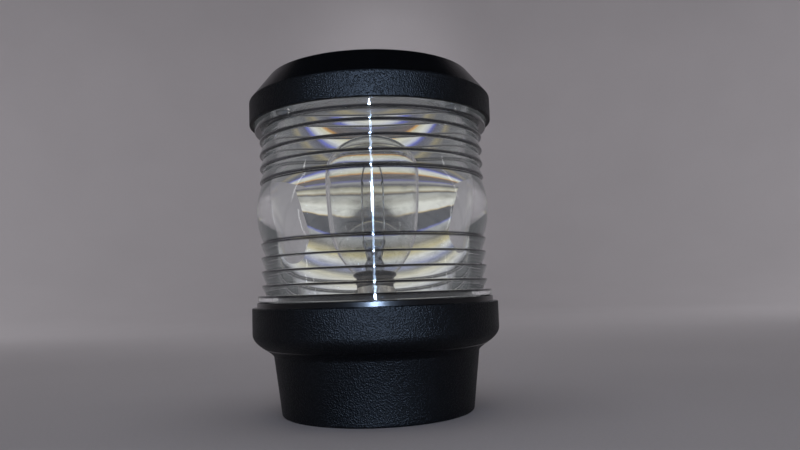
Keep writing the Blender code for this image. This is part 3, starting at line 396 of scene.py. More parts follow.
def tube(name, path, radius, sides=8, cyclic=False):
    """A wire along a path of (x, y, z) points in millimetres."""
    deselect()
    bpy.ops.curve.primitive_bezier_curve_add(location=(0, 0, 0))
    piece = bpy.context.active_object
    piece.name = name
    piece.data.splines.clear()
    spline = piece.data.splines.new("POLY")
    spline.points.add(len(path) - 1)
    for point, place in zip(spline.points, path):
        point.co = (*[v * MM for v in place], 1.0)
    spline.use_cyclic_u = cyclic
    piece.data.dimensions = "3D"
    piece.data.twist_mode = "MINIMUM"
    piece.data.bevel_depth = radius * MM
    piece.data.bevel_resolution = max(0, sides // 2 - 2)
    piece.data.use_fill_caps = not cyclic
    make_active(piece)
    bpy.ops.object.convert(target="MESH")
    piece = bpy.context.active_object
    clean(piece)
    smooth(piece, 50.0)
    return piece


def through(points, steps):
    """A smooth path through (x, y, z) points."""
    p = [Vector(q) for q in points]
    p = [p[0] * 2 - p[1]] + p + [p[-1] * 2 - p[-2]]
    path = []
    for a, b, c, d in zip(p, p[1:], p[2:], p[3:]):
        for i in range(steps):
            t = i / steps
            path.append(0.5 * (2 * b + (c - a) * t + (2 * a - 5 * b + 4 * c - d) * t * t
                               + (3 * b - a - 3 * c + d) * t ** 3))
    return path + [p[-2]]


def paint(piece, *finishes):
    piece.data.materials.clear()
    for finish in finishes:
        piece.data.materials.append(bpy.data.materials[finish])


def repaint(piece, slot_number, test):
    """Gives the faces that pass a test of their middle, in millimetres, another finish."""
    for face in piece.data.polygons:
        if test(face.center / MM, face.normal):
            face.material_index = slot_number


def fit_out(piece, body, node):
    """The piece moves with a body and stands for a CAD node, whose part is hidden."""
    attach(piece, body)
    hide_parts(node)


def dress(piece, finish, body, node):
    paint(piece, finish)
    fit_out(piece, body, node)


# ---------------------------------------------------------------- shader maths

def maths(operation, swapped=False):
    """A method that adds one Math node for an operation."""
    def method(self, other):
        first, second = (other, self) if swapped else (self, other)
        return self.finish.add("ShaderNodeMath", {"operation": operation},
                               {0: first, 1: second})
    return method


class Socket:
    """An output socket; arithmetic on it adds Math nodes."""

    def __init__(self, finish, socket):
        self.finish, self.socket = finish, socket

    __add__, __radd__ = maths("ADD"), maths("ADD", swapped=True)
    __sub__, __rsub__ = maths("SUBTRACT"), maths("SUBTRACT", swapped=True)
    __mul__, __rmul__ = maths("MULTIPLY"), maths("MULTIPLY", swapped=True)
    __pow__, over = maths("POWER"), maths("GREATER_THAN")


class Finish:
    """A material made of nodes round one Principled shader."""

    def __init__(self, name, **constants):
        self.material = bpy.data.materials.new(name)
        self.material.use_nodes = True
        self.tree = self.material.node_tree
        self.shader = self.tree.nodes["Principled BSDF"]
        for key, value in constants.items():
            self.set(key.replace("_", " ").title().replace("Ior", "IOR"), value)
        self.place = self.add("ShaderNodeTexCoord", output="Object")

    def add(self, kind, settings=None, inputs=None, output=0):
        """Adds a node with its settings, then its values or links, and gives one output."""
        node = self.tree.nodes.new(kind)
        for key, value in (settings or {}).items():
            if key == "stops":
                ramp = node.color_ramp
                while len(ramp.elements) < len(value):
                    ramp.elements.new(0.5)
                for element, (position, colour) in zip(ramp.elements, value):
                    element.position = position
                    element.color = (*colour, 1.0) if len(colour) == 3 else colour
            else:
                setattr(node, key, value)
        for key, value in (inputs or {}).items():
            self.feed(node.inputs[key], value)
        return Socket(self, node.outputs[output])

    def feed(self, target, value):
        if isinstance(value, Socket):
            self.tree.links.new(value.socket, target)
        elif target.type == "RGBA" and len(value) == 3:
            target.default_value = (*value, 1.0)
        else:
            target.default_value = value

    def set(self, key, value):
        self.feed(self.shader.inputs[key], value)

    def stretched(self, scale):
        """Object coordinates with the pattern stretched along each axis."""
        return self.add("ShaderNodeMapping", {}, {"Vector": self.place, "Scale": scale})

    def noise(self, size, detail=3.0, roughness=0.5, place=None):
        """Soft noise whose patches are about size millimetres across, from 0 to 1."""
        return self.add("ShaderNodeTexNoise", {},
                        {"Vector": place or self.place, "Scale": 1.0 / (size * MM),
                         "Detail": detail, "Roughness": roughness})

    def cells(self, size):
        return self.add("ShaderNodeTexVoronoi", {},
                        {"Vector": self.place, "Scale": 1.0 / (size * MM)})

    def between(self, value, low, high, out_low=0.0, out_high=1.0):
        """Maps a value from one range to another and clamps it."""
        return self.add("ShaderNodeMapRange", {"clamp": True},
                        {"Value": value, "From Min": low, "From Max": high, "To Min": out_low,
                         "To Max": out_high})

    def mix(self, factor, first, second):
        """Mixes two colours."""
        return self.add("ShaderNodeMix", {"data_type": "RGBA"},
                        {0: factor, 6: first, 7: second}, output=2)

    def height(self, key):
        """One of the three coordinates in metres."""
        return self.add("ShaderNodeSeparateXYZ", {}, {0: self.place}, output=key)

    def relief(self, surface, depth, strength=1.0):
        """Raises the surface by a height from 0 to 1, in millimetres."""
        self.set("Normal", self.add("ShaderNodeBump", {},
                                    {"Strength": strength, "Distance": depth * MM,
                                     "Height": surface}))


def scaled(colour, factor):
    return tuple(min(1.0, c * factor) for c in colour)


def make_black_mouldings(settings):
    """Grained and smooth black plastic."""
    grained = Finish("Grained black plastic", specular_ior_level=0.16)
    size = settings.grain_size / MM
    wander = grained.noise(size * 2.2, 2.0)
    pebbles = grained.between(grained.cells(size), 0.0, 0.62, 1.0, 0.0)
    fine = grained.noise(size * 0.42, 2.0, 0.6)
    surface = pebbles * 0.72 + fine * 0.34 + wander * 0.2
    grained.relief(surface, settings.grain_depth / MM, 0.9)
    crowns = grained.between(surface, 0.45, 0.95)
    worn = grained.between(grained.noise(26.0, 4.0, 0.6), 0.35, 0.75)
    grained.set("Base Color", grained.mix(crowns, scaled(settings.black, 0.7),
                                          scaled(settings.black, 1.7)))
    grained.set("Roughness", 0.46 - crowns * 0.14 + worn * 0.05)

    smooth_black = Finish("Smooth black plastic", specular_ior_level=0.5)
    haze = smooth_black.noise(9.0, 4.0, 0.55)
    scuffs = smooth_black.noise(0.5, 2.0, 0.6, smooth_black.stretched((1.0, 1.0, 0.12)))
    smooth_black.set("Base Color", smooth_black.mix(haze, scaled(settings.black, 0.75),
                                                    scaled(settings.black, 1.35)))
    smooth_black.set("Roughness", 0.17 + haze * 0.1 + scuffs * 0.05)
    smooth_black.relief(scuffs, 0.012, 0.5)


def make_clear_finishes(settings):
    """Lens plastic and bulb glass."""
    lens = Finish("Clear lens plastic", base_color=tuple(settings.lens_tint),
                  transmission_weight=1.0, ior=1.49, specular_ior_level=0.5)
    flow = lens.noise(7.0, 2.0, 0.5, lens.stretched((1.0, 1.0, 0.3)))
    handling = lens.between(lens.noise(11.0, 5.0, 0.62), 0.55, 0.8)
    lens.set("Roughness", handling * 0.012 + flow * 0.006)
    lens.relief(flow, 0.05, 0.25)
    x, y, z = (lens.height(key) for key in range(3))
    # painted shade: the ramp below darkens the lens along each ring's crest and each flange edge
    crests = [BELT_Z + side * edge for edge in ring_edges()[:-1] for side in (-1, 1)]
    crests = sorted(crests + [RINGS_BOTTOM, UPPER_FLANGE])
    low, high = crests[0] - 5.0, crests[-1] + 5.0
    stops = [(0.0, (0, 0, 0))]
    for crest in crests:
        for offset, shade in ((-PAINTED_CREST_SHADE, 0.0), (0.0, 1.0), (PAINTED_CREST_SHADE, 0.0)):
            stops.append(((crest + offset - low) / (high - low), (shade,) * 3))
    lines = lens.add("ShaderNodeValToRGB", {"stops": stops},
                     {"Fac": lens.between(z, low * MM, high * MM)})
    painted_shade_radius_mask = ((x * x + y * y) ** 0.5).over((CREST_R - 1.2) * MM)
    # painted shade: near the crests' radius the base colour goes near-black
    lens.set("Base Color", lens.mix(lens.between(lines, 0.0, 0.4) * painted_shade_radius_mask,
                                    tuple(settings.lens_tint), (0.02, 0.02, 0.025)))
    # painted light: a faint bluish glow over the lens, left off the painted crest shade
    lens.set("Emission Color", lens.mix(lines, (0.9, 0.95, 1.0), (0.0, 0.0, 0.0)))
    lens.set("Emission Strength", 0.013)

    glass = Finish("Bulb glass", base_color=(0.99, 0.995, 0.99), transmission_weight=1.0,
                   ior=1.5)
    ripple = glass.noise(10.0, 2.0)
    glass.set("Roughness", ripple * 0.006)
    glass.relief(ripple, 0.06, 0.2)

    stem = Finish("Stem glass", base_color=(0.55, 0.6, 0.68), transmission_weight=1.0,
                  ior=1.53)
    seeds = stem.noise(1.4, 3.0, 0.6)
    stem.set("Roughness", 0.01 + seeds * 0.03)
    stem.relief(seeds, 0.05, 0.5)


def make_metal(name, colour, rough, brush=(1.0, 1.0, 1.0), patch=3.0, depth=0.01, dark=0.55):
    """A plated or drawn metal: brushed relief, soft stains and varied gloss."""
    metal = Finish(name, metallic=1.0)
    stain = metal.noise(patch, 4.0, 0.6)
    lines = metal.noise(0.35, 2.0, 0.6, metal.stretched(brush))
    metal.set("Base Color", metal.mix(metal.between(stain, 0.35, 0.8), colour,
                                      scaled(colour, dark)))
    metal.set("Roughness", rough + stain * 0.12 + lines * 0.08 - 0.06)
    metal.relief(lines, depth, 0.6)


def make_dull(name, colour, rough, patch=2.5, depth=0.03, fleck=0.6):
    """Rubber, plastics and sleeves: a soft mottle, a fine relief and varied gloss."""
    dull = Finish(name)
    mottle = dull.noise(patch, 4.0, 0.6)
    grit = dull.noise(0.35, 2.0, 0.6)
    dull.set("Base Color", dull.mix(dull.between(mottle, 0.3, 0.75), colour,
                                    scaled(colour, fleck)))
    dull.set("Roughness", rough + mottle * 0.12 + grit * 0.06 - 0.08)
    dull.relief(grit, depth, 0.6)


def make_brushed_disc():
    """Aluminium sheet with the concentric marks of turning."""
    disc = Finish("Turned aluminium", metallic=1.0)
    x, y = disc.height(0), disc.height(1)
    radius = (x * x + y * y) ** 0.5
    rings = disc.add("ShaderNodeTexNoise", {"noise_dimensions": "1D"},
                     {"W": radius, "Scale": 2600.0, "Detail": 3.0})
    haze = disc.noise(14.0, 4.0)
    disc.set("Base Color", disc.mix(haze, (0.86, 0.87, 0.88), (0.68, 0.69, 0.71)))
    disc.set("Roughness", 0.17 + rings * 0.14 + haze * 0.08)
    disc.relief(rings, 0.012, 0.7)


class NAVLIGHT_OT_finishes(bpy.types.Operator):
    """Make every finish of the light"""
    bl_idname = "navlight.finishes"
    bl_label = "Finishes"

    def execute(self, context):
        settings = context.scene.nav_finish
        make_black_mouldings(settings)
        make_clear_finishes(settings)
        make_brushed_disc()
        make_metal("Nickel plate", (0.66, 0.62, 0.55), 0.24, (1.0, 1.0, 8.0))
        # painted shade: a near-black nickel colour standing in for the dark surroundings the shell
        # reflects
        make_metal("Nickel in painted shade", (0.12, 0.11, 0.1), 0.22, (1.0, 1.0, 8.0))
        make_metal("Lead wire", (0.55, 0.53, 0.5), 0.3, (1.0, 1.0, 0.2), patch=1.0)
        make_metal("Brass", (0.74, 0.53, 0.24), 0.26, (1.0, 1.0, 5.0), patch=2.0)
        make_metal("Zinc plated steel", (0.62, 0.63, 0.64), 0.3, (1.0, 1.0, 3.0), patch=2.0)
        make_metal("Spring steel", (0.5, 0.5, 0.51), 0.28, patch=2.5)
        make_metal("Tungsten", (0.34, 0.34, 0.36), 0.42, patch=0.5, depth=0.004)
        make_metal("Solder", (0.68, 0.68, 0.67), 0.3, patch=0.9, depth=0.03)
        make_dull("Rubber", (0.016, 0.016, 0.017), 0.62)
        make_dull("Phenolic", (0.13, 0.055, 0.024), 0.42, patch=1.2, fleck=0.5)
        make_dull("Terminal plastic", (0.74, 0.72, 0.66), 0.38, patch=4.0, depth=0.015,
                  fleck=0.9)
        make_dull("Red sleeve", tuple(settings.sleeve_red), 0.4, patch=3.0, fleck=0.8)
        make_dull("Black sleeve", (0.015, 0.015, 0.016), 0.4, patch=3.0, fleck=0.8)
        return {"FINISHED"}


# ---------------------------------------------------------------- lens unit

def ring_edges():
    edges = [BELT_HALF]
    for height in RING_HEIGHTS:
        edges.append(edges[-1] + height)
    return edges


def lens_outline(shape):
    """The drum's half section: flanges, stepped rings, bulging belt and spigot."""
    crest, root = shape.crest_round / MM, shape.root_round / MM
    upper = []
    for low, high in zip(ring_edges(), ring_edges()[1:]):
        upper += [(CREST_R, low, crest), (ROOT_R, high, root)]
    belt_r = BELT_CENTRE_R + math.sqrt(BELT_CURVE_R ** 2 - BELT_HALF ** 2)
    half_angle = math.degrees(math.asin(BELT_HALF / BELT_CURVE_R))
    belt = [(p.x, p.y, 0.0) for p in arc_points(BELT_CENTRE_R, 0.0, BELT_CURVE_R,
                                                half_angle, -half_angle, 26)]
    belt[0], belt[-1] = (belt_r, BELT_HALF, root), (belt_r, -BELT_HALF, root)
    side = list(reversed(upper)) + belt + [(r, -z, f) for r, z, f in upper]
    corners = [(LENS_R - 8.0, LENS_TOP, 0.3), (FLANGE_R, LENS_TOP, 0.4),
               (FLANGE_R, UPPER_FLANGE, 0.35)]
    corners += [(r, z + BELT_Z, f) for r, z, f in side]
    corners += [(LOWER_FLANGE_R, RINGS_BOTTOM, 0.35), (LOWER_FLANGE_R, LENS_BOTTOM, 0.3),
                (SPIGOT_R, LENS_BOTTOM, 0.3), (SPIGOT_R, SPIGOT_BOTTOM, 0.3),
                (LENS_R, SPIGOT_BOTTOM, 0.3), (LENS_R, INNER_FLANGE, 0.5),
                (LENS_R - 8.0, INNER_FLANGE, 0.3)]
    return soften(corners)


class NAVLIGHT_OT_lens(bpy.types.Operator):
    """Turn the stepped clear lens, with its bayonet lugs and screw holes"""
    bl_idname = "navlight.lens"
    bl_label = "Clear lens"

    def execute(self, context):
        lens = turn("clear_lens", lens_outline(context.scene.nav_shape), angle=50.0)
        for angle in LUG_ANGLES:
            lug = turn(
                "lug",
                [(SPIGOT_R - 0.8, LUG_LOW, 0), (LUG_R, LUG_LOW, 0.25), (LUG_R, LUG_HIGH, 0.25),
                 (SPIGOT_R - 0.8, LUG_HIGH, 0)],
                steps=12, arc=18.0, start=angle - 9.0, corner_steps=2)
            carve(lens, lug, "UNION")
        drill(lens, around(CAP_SCREW_R, LUG_ANGLES), SCREW_HOLE_R, INNER_FLANGE - 1,
              LENS_TOP + 1)
        clean(lens)
        smooth(lens, 50.0)
        dress(lens, "Clear lens plastic", "lens_unit", "lens")
        return {"FINISHED"}


class NAVLIGHT_OT_cap(bpy.types.Operator):
    """Turn the chamfered cap, its heat shield and its gasket"""
    bl_idname = "navlight.cap"
    bl_label = "Cap and heat shield"

    def execute(self, context):
        edge = context.scene.nav_shape.cap_round / MM
        low, top = CAP_LOW[2], CAP_HIGH[2]
        shoulder, roof = low + 9.0, top - 2.0
        flat_r, inner_r, ledge_r = CAP_R - 8.0, CAP_R - 1.7, LENS_R + 1.6
        ledge, boss = SHIELD_Z + 1.6, SHIELD_Z + 1.1
        corners = [(0, top, 0), (flat_r, top, edge), (CAP_R, shoulder, edge), (CAP_R, low, 0.45),
                   (inner_r, low, 0.3), (inner_r, ledge, 0.3), (ledge_r, ledge, 0.3),
                   (ledge_r, roof - 3.1, 0.6), (flat_r - 0.9, roof, 0.6), (0, roof, 0)]
        cap = turn("black_cap", corners, closed=False, angle=50.0, corner_steps=5)
        screws = around(CAP_SCREW_R, LUG_ANGLES)
        drill(cap, screws, 2.9, boss, roof + 0.7, operation="UNION")
        drill(cap, screws, PILOT_R, boss - 1, INNER_FLANGE + 9.0)
        clean(cap)
        smooth(cap, 50.0)
        paint(cap, "Grained black plastic", "Smooth black plastic")
        repaint(cap, 1, lambda p, n: math.hypot(p.x, p.y) < inner_r + 0.2 and p.z < top - 1.0)
        fit_out(cap, "lens_unit", "cap")

        shield_r = LENS_R + 0.5
        shield = turn(
            "heat_shield_disc",
            [(0, SHIELD_Z + 0.8, 0), (shield_r - 0.1, SHIELD_Z + 0.8, 0.2),
             (shield_r - 0.1, SHIELD_Z, 0.2), (27.0, SHIELD_Z, 0.6), (25.5, SHIELD_Z + 0.25, 0.6),
             (0, SHIELD_Z + 0.25, 0)],
            steps=128, closed=False)
        drill(shield, screws, SCREW_HOLE_R, SHIELD_Z - 1, SHIELD_Z + 2)
        smooth(shield)
        dress(shield, "Turned aluminium", "lens_unit", "heat_shield")

        gasket = turn(
            "cap_gasket",
            [(ledge_r, SHIELD_Z + 1.3, 0.25), (ledge_r + 2.8, SHIELD_Z + 1.3, 0.25),
             (ledge_r + 2.8, SHIELD_Z, 0.25), (ledge_r, SHIELD_Z, 0.25)],
            steps=128)
        dress(gasket, "Rubber", "lens_unit", "cap_seal")
        return {"FINISHED"}


# ---------------------------------------------------------------- housing

def housing_outline():
    cove = curve_between([(RING_R, RING_BOTTOM), (RING_R, RING_BOTTOM - 4.6),
                          (NECK_R + 1.0, NECK_Z + 2.4), (NECK_R, NECK_Z)], 18)
    inside = soften([(0, FLOOR, 0), (FOOT_R - WALL, FLOOR, 0.8), (NECK_R - WALL, NECK_Z, 1.0),
                     (NECK_R - WALL + 0.8, NECK_Z + 2.6, 1.2), (BORE_R - 0.6, RING_BOTTOM, 1.2),
                     (BORE_R, RING_BOTTOM + 1.8, 0.6), (BORE_R, SEAT_Z, 0.2),
                     (SEAT_R, SEAT_Z, 0.2), (SEAT_R, COLLAR_TOP, 0.2),
                     (COLLAR_R, COLLAR_TOP, 0.35), (COLLAR_R, RING_TOP, 0.2),
                     (RING_R, RING_TOP, 0.6), (RING_R, RING_BOTTOM, 0)], closed=False)
    foot = soften([(NECK_R, NECK_Z, 0), (FOOT_R, 0, 0.9), (0, 0, 0)], closed=False, steps=5)
    return inside + cove[1:-1] + foot


class NAVLIGHT_OT_housing(bpy.types.Operator):
    """Turn the base housing, with its bayonet tabs, pillars and holes, and the lens seal"""
    bl_idname = "navlight.housing"
    bl_label = "Base housing"

    def execute(self, context):
        housing = turn("black_housing", housing_outline(), closed=False, angle=50.0)
        tab_r = SPIGOT_R + 0.4
        for angle in LUG_ANGLES:
            tab = turn(
                "tab",
                [(tab_r, TAB_LOW, 0.2), (tab_r, TAB_HIGH, 0.2), (BORE_R + 1.3, TAB_HIGH, 0),
                 (BORE_R + 1.3, TAB_LOW, 0)],
                steps=24, arc=40.0, start=angle + 11.0, corner_steps=2)
            carve(housing, tab, "UNION")
            stop = turn(
                "stop",
                [(tab_r, LUG_LOW, 0.2), (tab_r, TAB_LOW + 1.0, 0),
                 (BORE_R + 1.3, TAB_LOW + 1.0, 0), (BORE_R + 1.3, LUG_LOW, 0)],
                steps=4, arc=4.0, start=angle + 34.6, corner_steps=2)
            carve(housing, stop, "UNION")
        pillars = around(PILLAR_PITCH_R, PILLAR_ANGLES)
        drill(housing, pillars, 4.2, FLOOR / 2, PILLAR_TOP, operation="UNION")
        drill(housing, pillars, PILOT_R, PILLAR_TOP - 6.0, PILLAR_TOP + 1.0)
        drill(housing, around(DECK_PITCH_R, LUG_ANGLES), 2.3, -1.0, FLOOR + 1.0)
        drill(housing, [GLAND_PLACE], GLAND_HOLE_R, -1.0, FLOOR + 1.0)
        drill(housing, [GLAND_PLACE], 9.3, -1.0, 1.8, sides=64)
        clean(housing)
        smooth(housing, 50.0)
        paint(housing, "Grained black plastic", "Smooth black plastic")
        repaint(housing, 1, lambda p, n: (
            p.z < 0.05 or p.z > RING_TOP - 0.15
            or (p.z > 2.2 and n.xy.length > 0 and math.hypot(p.x, p.y) < NECK_R - WALL + 0.2)
            or (p.z > RING_BOTTOM - 6.0 and math.hypot(p.x, p.y) < BORE_R + 0.3)))
        fit_out(housing, "base", "base_housing")

        section = 0.8
        middle_r, middle_z = BORE_R + section + 0.15, SEAT_Z + 0.3 + section
        seal = turn("lens_o_ring", arc_points(middle_r, middle_z, section, 0, 345, 23), steps=160)
        dress(seal, "Rubber", "seal", "lens_seal")
        return {"FINISHED"}


class NAVLIGHT_OT_carrier(bpy.types.Operator):
    """Turn the lamp carrier, the black plate under the bulb"""
    bl_idname = "navlight.carrier"
    bl_label = "Lamp carrier"

    def execute(self, context):
        low, top = CARRIER_LOW[2], CARRIER_HIGH[2]
        under, hole_r = top - 2.5, HOLDER_R + 0.3
        carrier = turn(
            "carrier_plate",
            [(hole_r, top, 0.2), (CARRIER_R, top, 0.6), (CARRIER_R, low, 0.3),
             (CARRIER_R - 2.2, low, 0.3), (CARRIER_R - 2.2, under, 0.8), (hole_r, under, 0.2)],
            steps=160)
        bosses = around(PILLAR_PITCH_R, PILLAR_ANGLES)
        drill(carrier, bosses, 5.6, low, under + 1.2, operation="UNION")
        drill(carrier, bosses, PILOT_R, low - 1, top + 1)
        drill(carrier, bosses, 3.1, top - 2.7, top + 1)
        drill(carrier, around((HOLDER_R + HOLDER_FLANGE_R) / 2, HOLDER_SCREW_ANGLES), 1.2,
              under - 1, top - 0.5)
        clean(carrier)
        smooth(carrier, 50.0)
        dress(carrier, "Smooth black plastic", "base", "lamp_carrier")
        return {"FINISHED"}


# ---------------------------------------------------------------- holder and contacts

class NAVLIGHT_OT_holder(bpy.types.Operator):
    """Make the slotted bulb holder with its back, sprung contact block, pins and spring"""
    bl_idname = "navlight.holder"
    bl_label = "Bulb holder"

    def execute(self, context):
        inner_r, flange = HOLDER_R - 0.4, CARRIER_HIGH[2] - 2.8
        lip_r = inner_r - 1.2
        shell = turn(
            "holder_sleeve",
            [(inner_r, HOLDER_TOP, 0.1), (HOLDER_R, HOLDER_TOP, 0.1), (HOLDER_R, flange, 0.15),
             (HOLDER_FLANGE_R, flange, 0.3), (HOLDER_FLANGE_R, flange - 1.2, 0.3),
             (HOLDER_R, flange - 1.2, 0.15), (HOLDER_R, HOLDER_BOTTOM, 0.2),
             (lip_r, HOLDER_BOTTOM, 0.1), (lip_r, HOLDER_BOTTOM + 0.4, 0.1),
             (inner_r, HOLDER_BOTTOM + 0.4, 0.2)],
            steps=112, corner_steps=2)
        for side in (0.0, 180.0):
            x, y = polar(HOLDER_R, side + 20.0)
            carve(shell, bar("entry", (4.0, 2.7, 6.0), (x, y, PIN_Z + 3.0), side + 20.0))
            x, y = polar(HOLDER_R, side + 10.0)
            carve(shell, bar("arm", (4.0, 5.4, 4.6), (x, y, PIN_Z - 1.0), side + 10.0))
        drill(shell, around((HOLDER_R + HOLDER_FLANGE_R) / 2, HOLDER_SCREW_ANGLES), 1.2,
              flange - 3, flange + 1)
        smooth(shell, 40.0)
        dress(shell, "Nickel plate", "base", "holder_shell")

        disc_r = inner_r - 0.3
        low, high = heights("holder_back")
        back = turn(
            "holder_back_disc",
            [(0, high, 0), (disc_r, high, 0.2), (disc_r, low, 0.2), (0, low, 0)],
            steps=64, closed=False)
        low, high = heights("contact_block")
        block = turn(
            "contact_carrier",
            [(0, high, 0), (disc_r, high, 0.5), (disc_r, low, 0.2), (0, low, 0)],
            steps=64, closed=False)
        for piece in (back, block):
            drill(piece, CONTACT_PLACES, CONTACT_HOLE_R, HOLDER_BOTTOM - 1, high + 1, sides=24)
            smooth(piece)
            paint(piece, "Phenolic")
        fit_out(back, "base", "holder_back")
        fit_out(block, "contacts", "contact_block")

        low, high = heights("contact_pin_1")
        head = soften([(0, high, 0), (1.5, high, 0.4), (1.9, high - 0.5, 0.2),
                       (1.9, high - 1.0, 0.1), (1.0, high - 1.0, 0.1), (1.0, low + 0.6, 0.1),
                       (0.7, low, 0.2), (0, low, 0)], closed=False)
        pin = turn("contact_stud_1", head, steps=32, closed=False, centre=(0, CONTACT_Y))
        paint(pin, "Brass")
        other = duplicate(pin, "contact_stud_2", (0, -2 * CONTACT_Y, 0))
        fit_out(pin, "contacts", "contact_pin_1")
        fit_out(other, "contacts", "contact_pin_2")

        low, high = heights("contact_spring")
        wire, turns, steps = 0.3, 4, 30
        coil_r = inner_r - wire - 0.5
        path = []
        for i in range(turns * steps + 1):
            t = i / (turns * steps)
            x, y = polar(coil_r, 360.0 * i / steps)
            path.append((x, y, low + wire + (high - low - 2 * wire) * t))
        spring = tube("coil_spring", path, wire, sides=10)
        dress(spring, "Spring steel", "base", "contact_spring")
        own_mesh(spring)
        return {"FINISHED"}


class NAVLIGHT_OT_leads(bpy.types.Operator):
    """Lay the two leads from the sprung contacts to the terminal clamps"""
    bl_idname = "navlight.leads"
    bl_label = "Internal leads"

    def execute(self, context):
        for number, side, finish, slot in ((1, 1, "Red sleeve", "red_sleeve"),
                                           (2, -1, "Black sleeve", "black_sleeve")):
            node = f"wire_{number}"
            low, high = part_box(node)
            top, clamp_z, clamp_x = high.z / MM, low.z / MM + 0.8, side * CLAMP_X
            drop, face, y = top - clamp_z, BLOCK_Y + 7.0, side * CONTACT_Y
            route = [(0.0, y, top), (0.05 * clamp_x, y, top - 0.12 * drop),
                     (0.7 * clamp_x, y + 0.5, top - 0.45 * drop),
                     (1.1 * clamp_x, face + 4.2, clamp_z + 0.25 * drop),
                     (clamp_x, face + 1.5, clamp_z + 0.6), (clamp_x, face - 1.5, clamp_z),
                     (clamp_x, face - 4.5, clamp_z)]
            lead = tube(f"lead_{number}", through(route, 8), 0.78, sides=14)
            dress(lead, finish, "base", node)
            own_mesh(lead)
        return {"FINISHED"}


# ---------------------------------------------------------------- bulb

def pear(inset):
    """The glass's section from its crown to its neck, set in by a wall."""
    globe = GLOBE_R - inset
    neck, neck_z = SHELL_R - 0.7 - inset, SKIRT_TOP - 0.8
    dome = arc_points(0.0, 0.0, globe, 90.0, 0.0, 22)
    for point in dome:
        point.y = GLOBE_Z + point.y * (DOME - inset) / globe
    dome[0].x = 0.0
    drop = GLOBE_Z - neck_z
    side = curve_between([(globe, GLOBE_Z), (globe, GLOBE_Z - 0.56 * drop),
                          (neck + 0.4 * (globe - neck), neck_z + 0.14 * drop),
                          (neck, neck_z)], 26)
    return dome + side[1:] + [Vector((neck, SKIRT_Z - 3.0))]


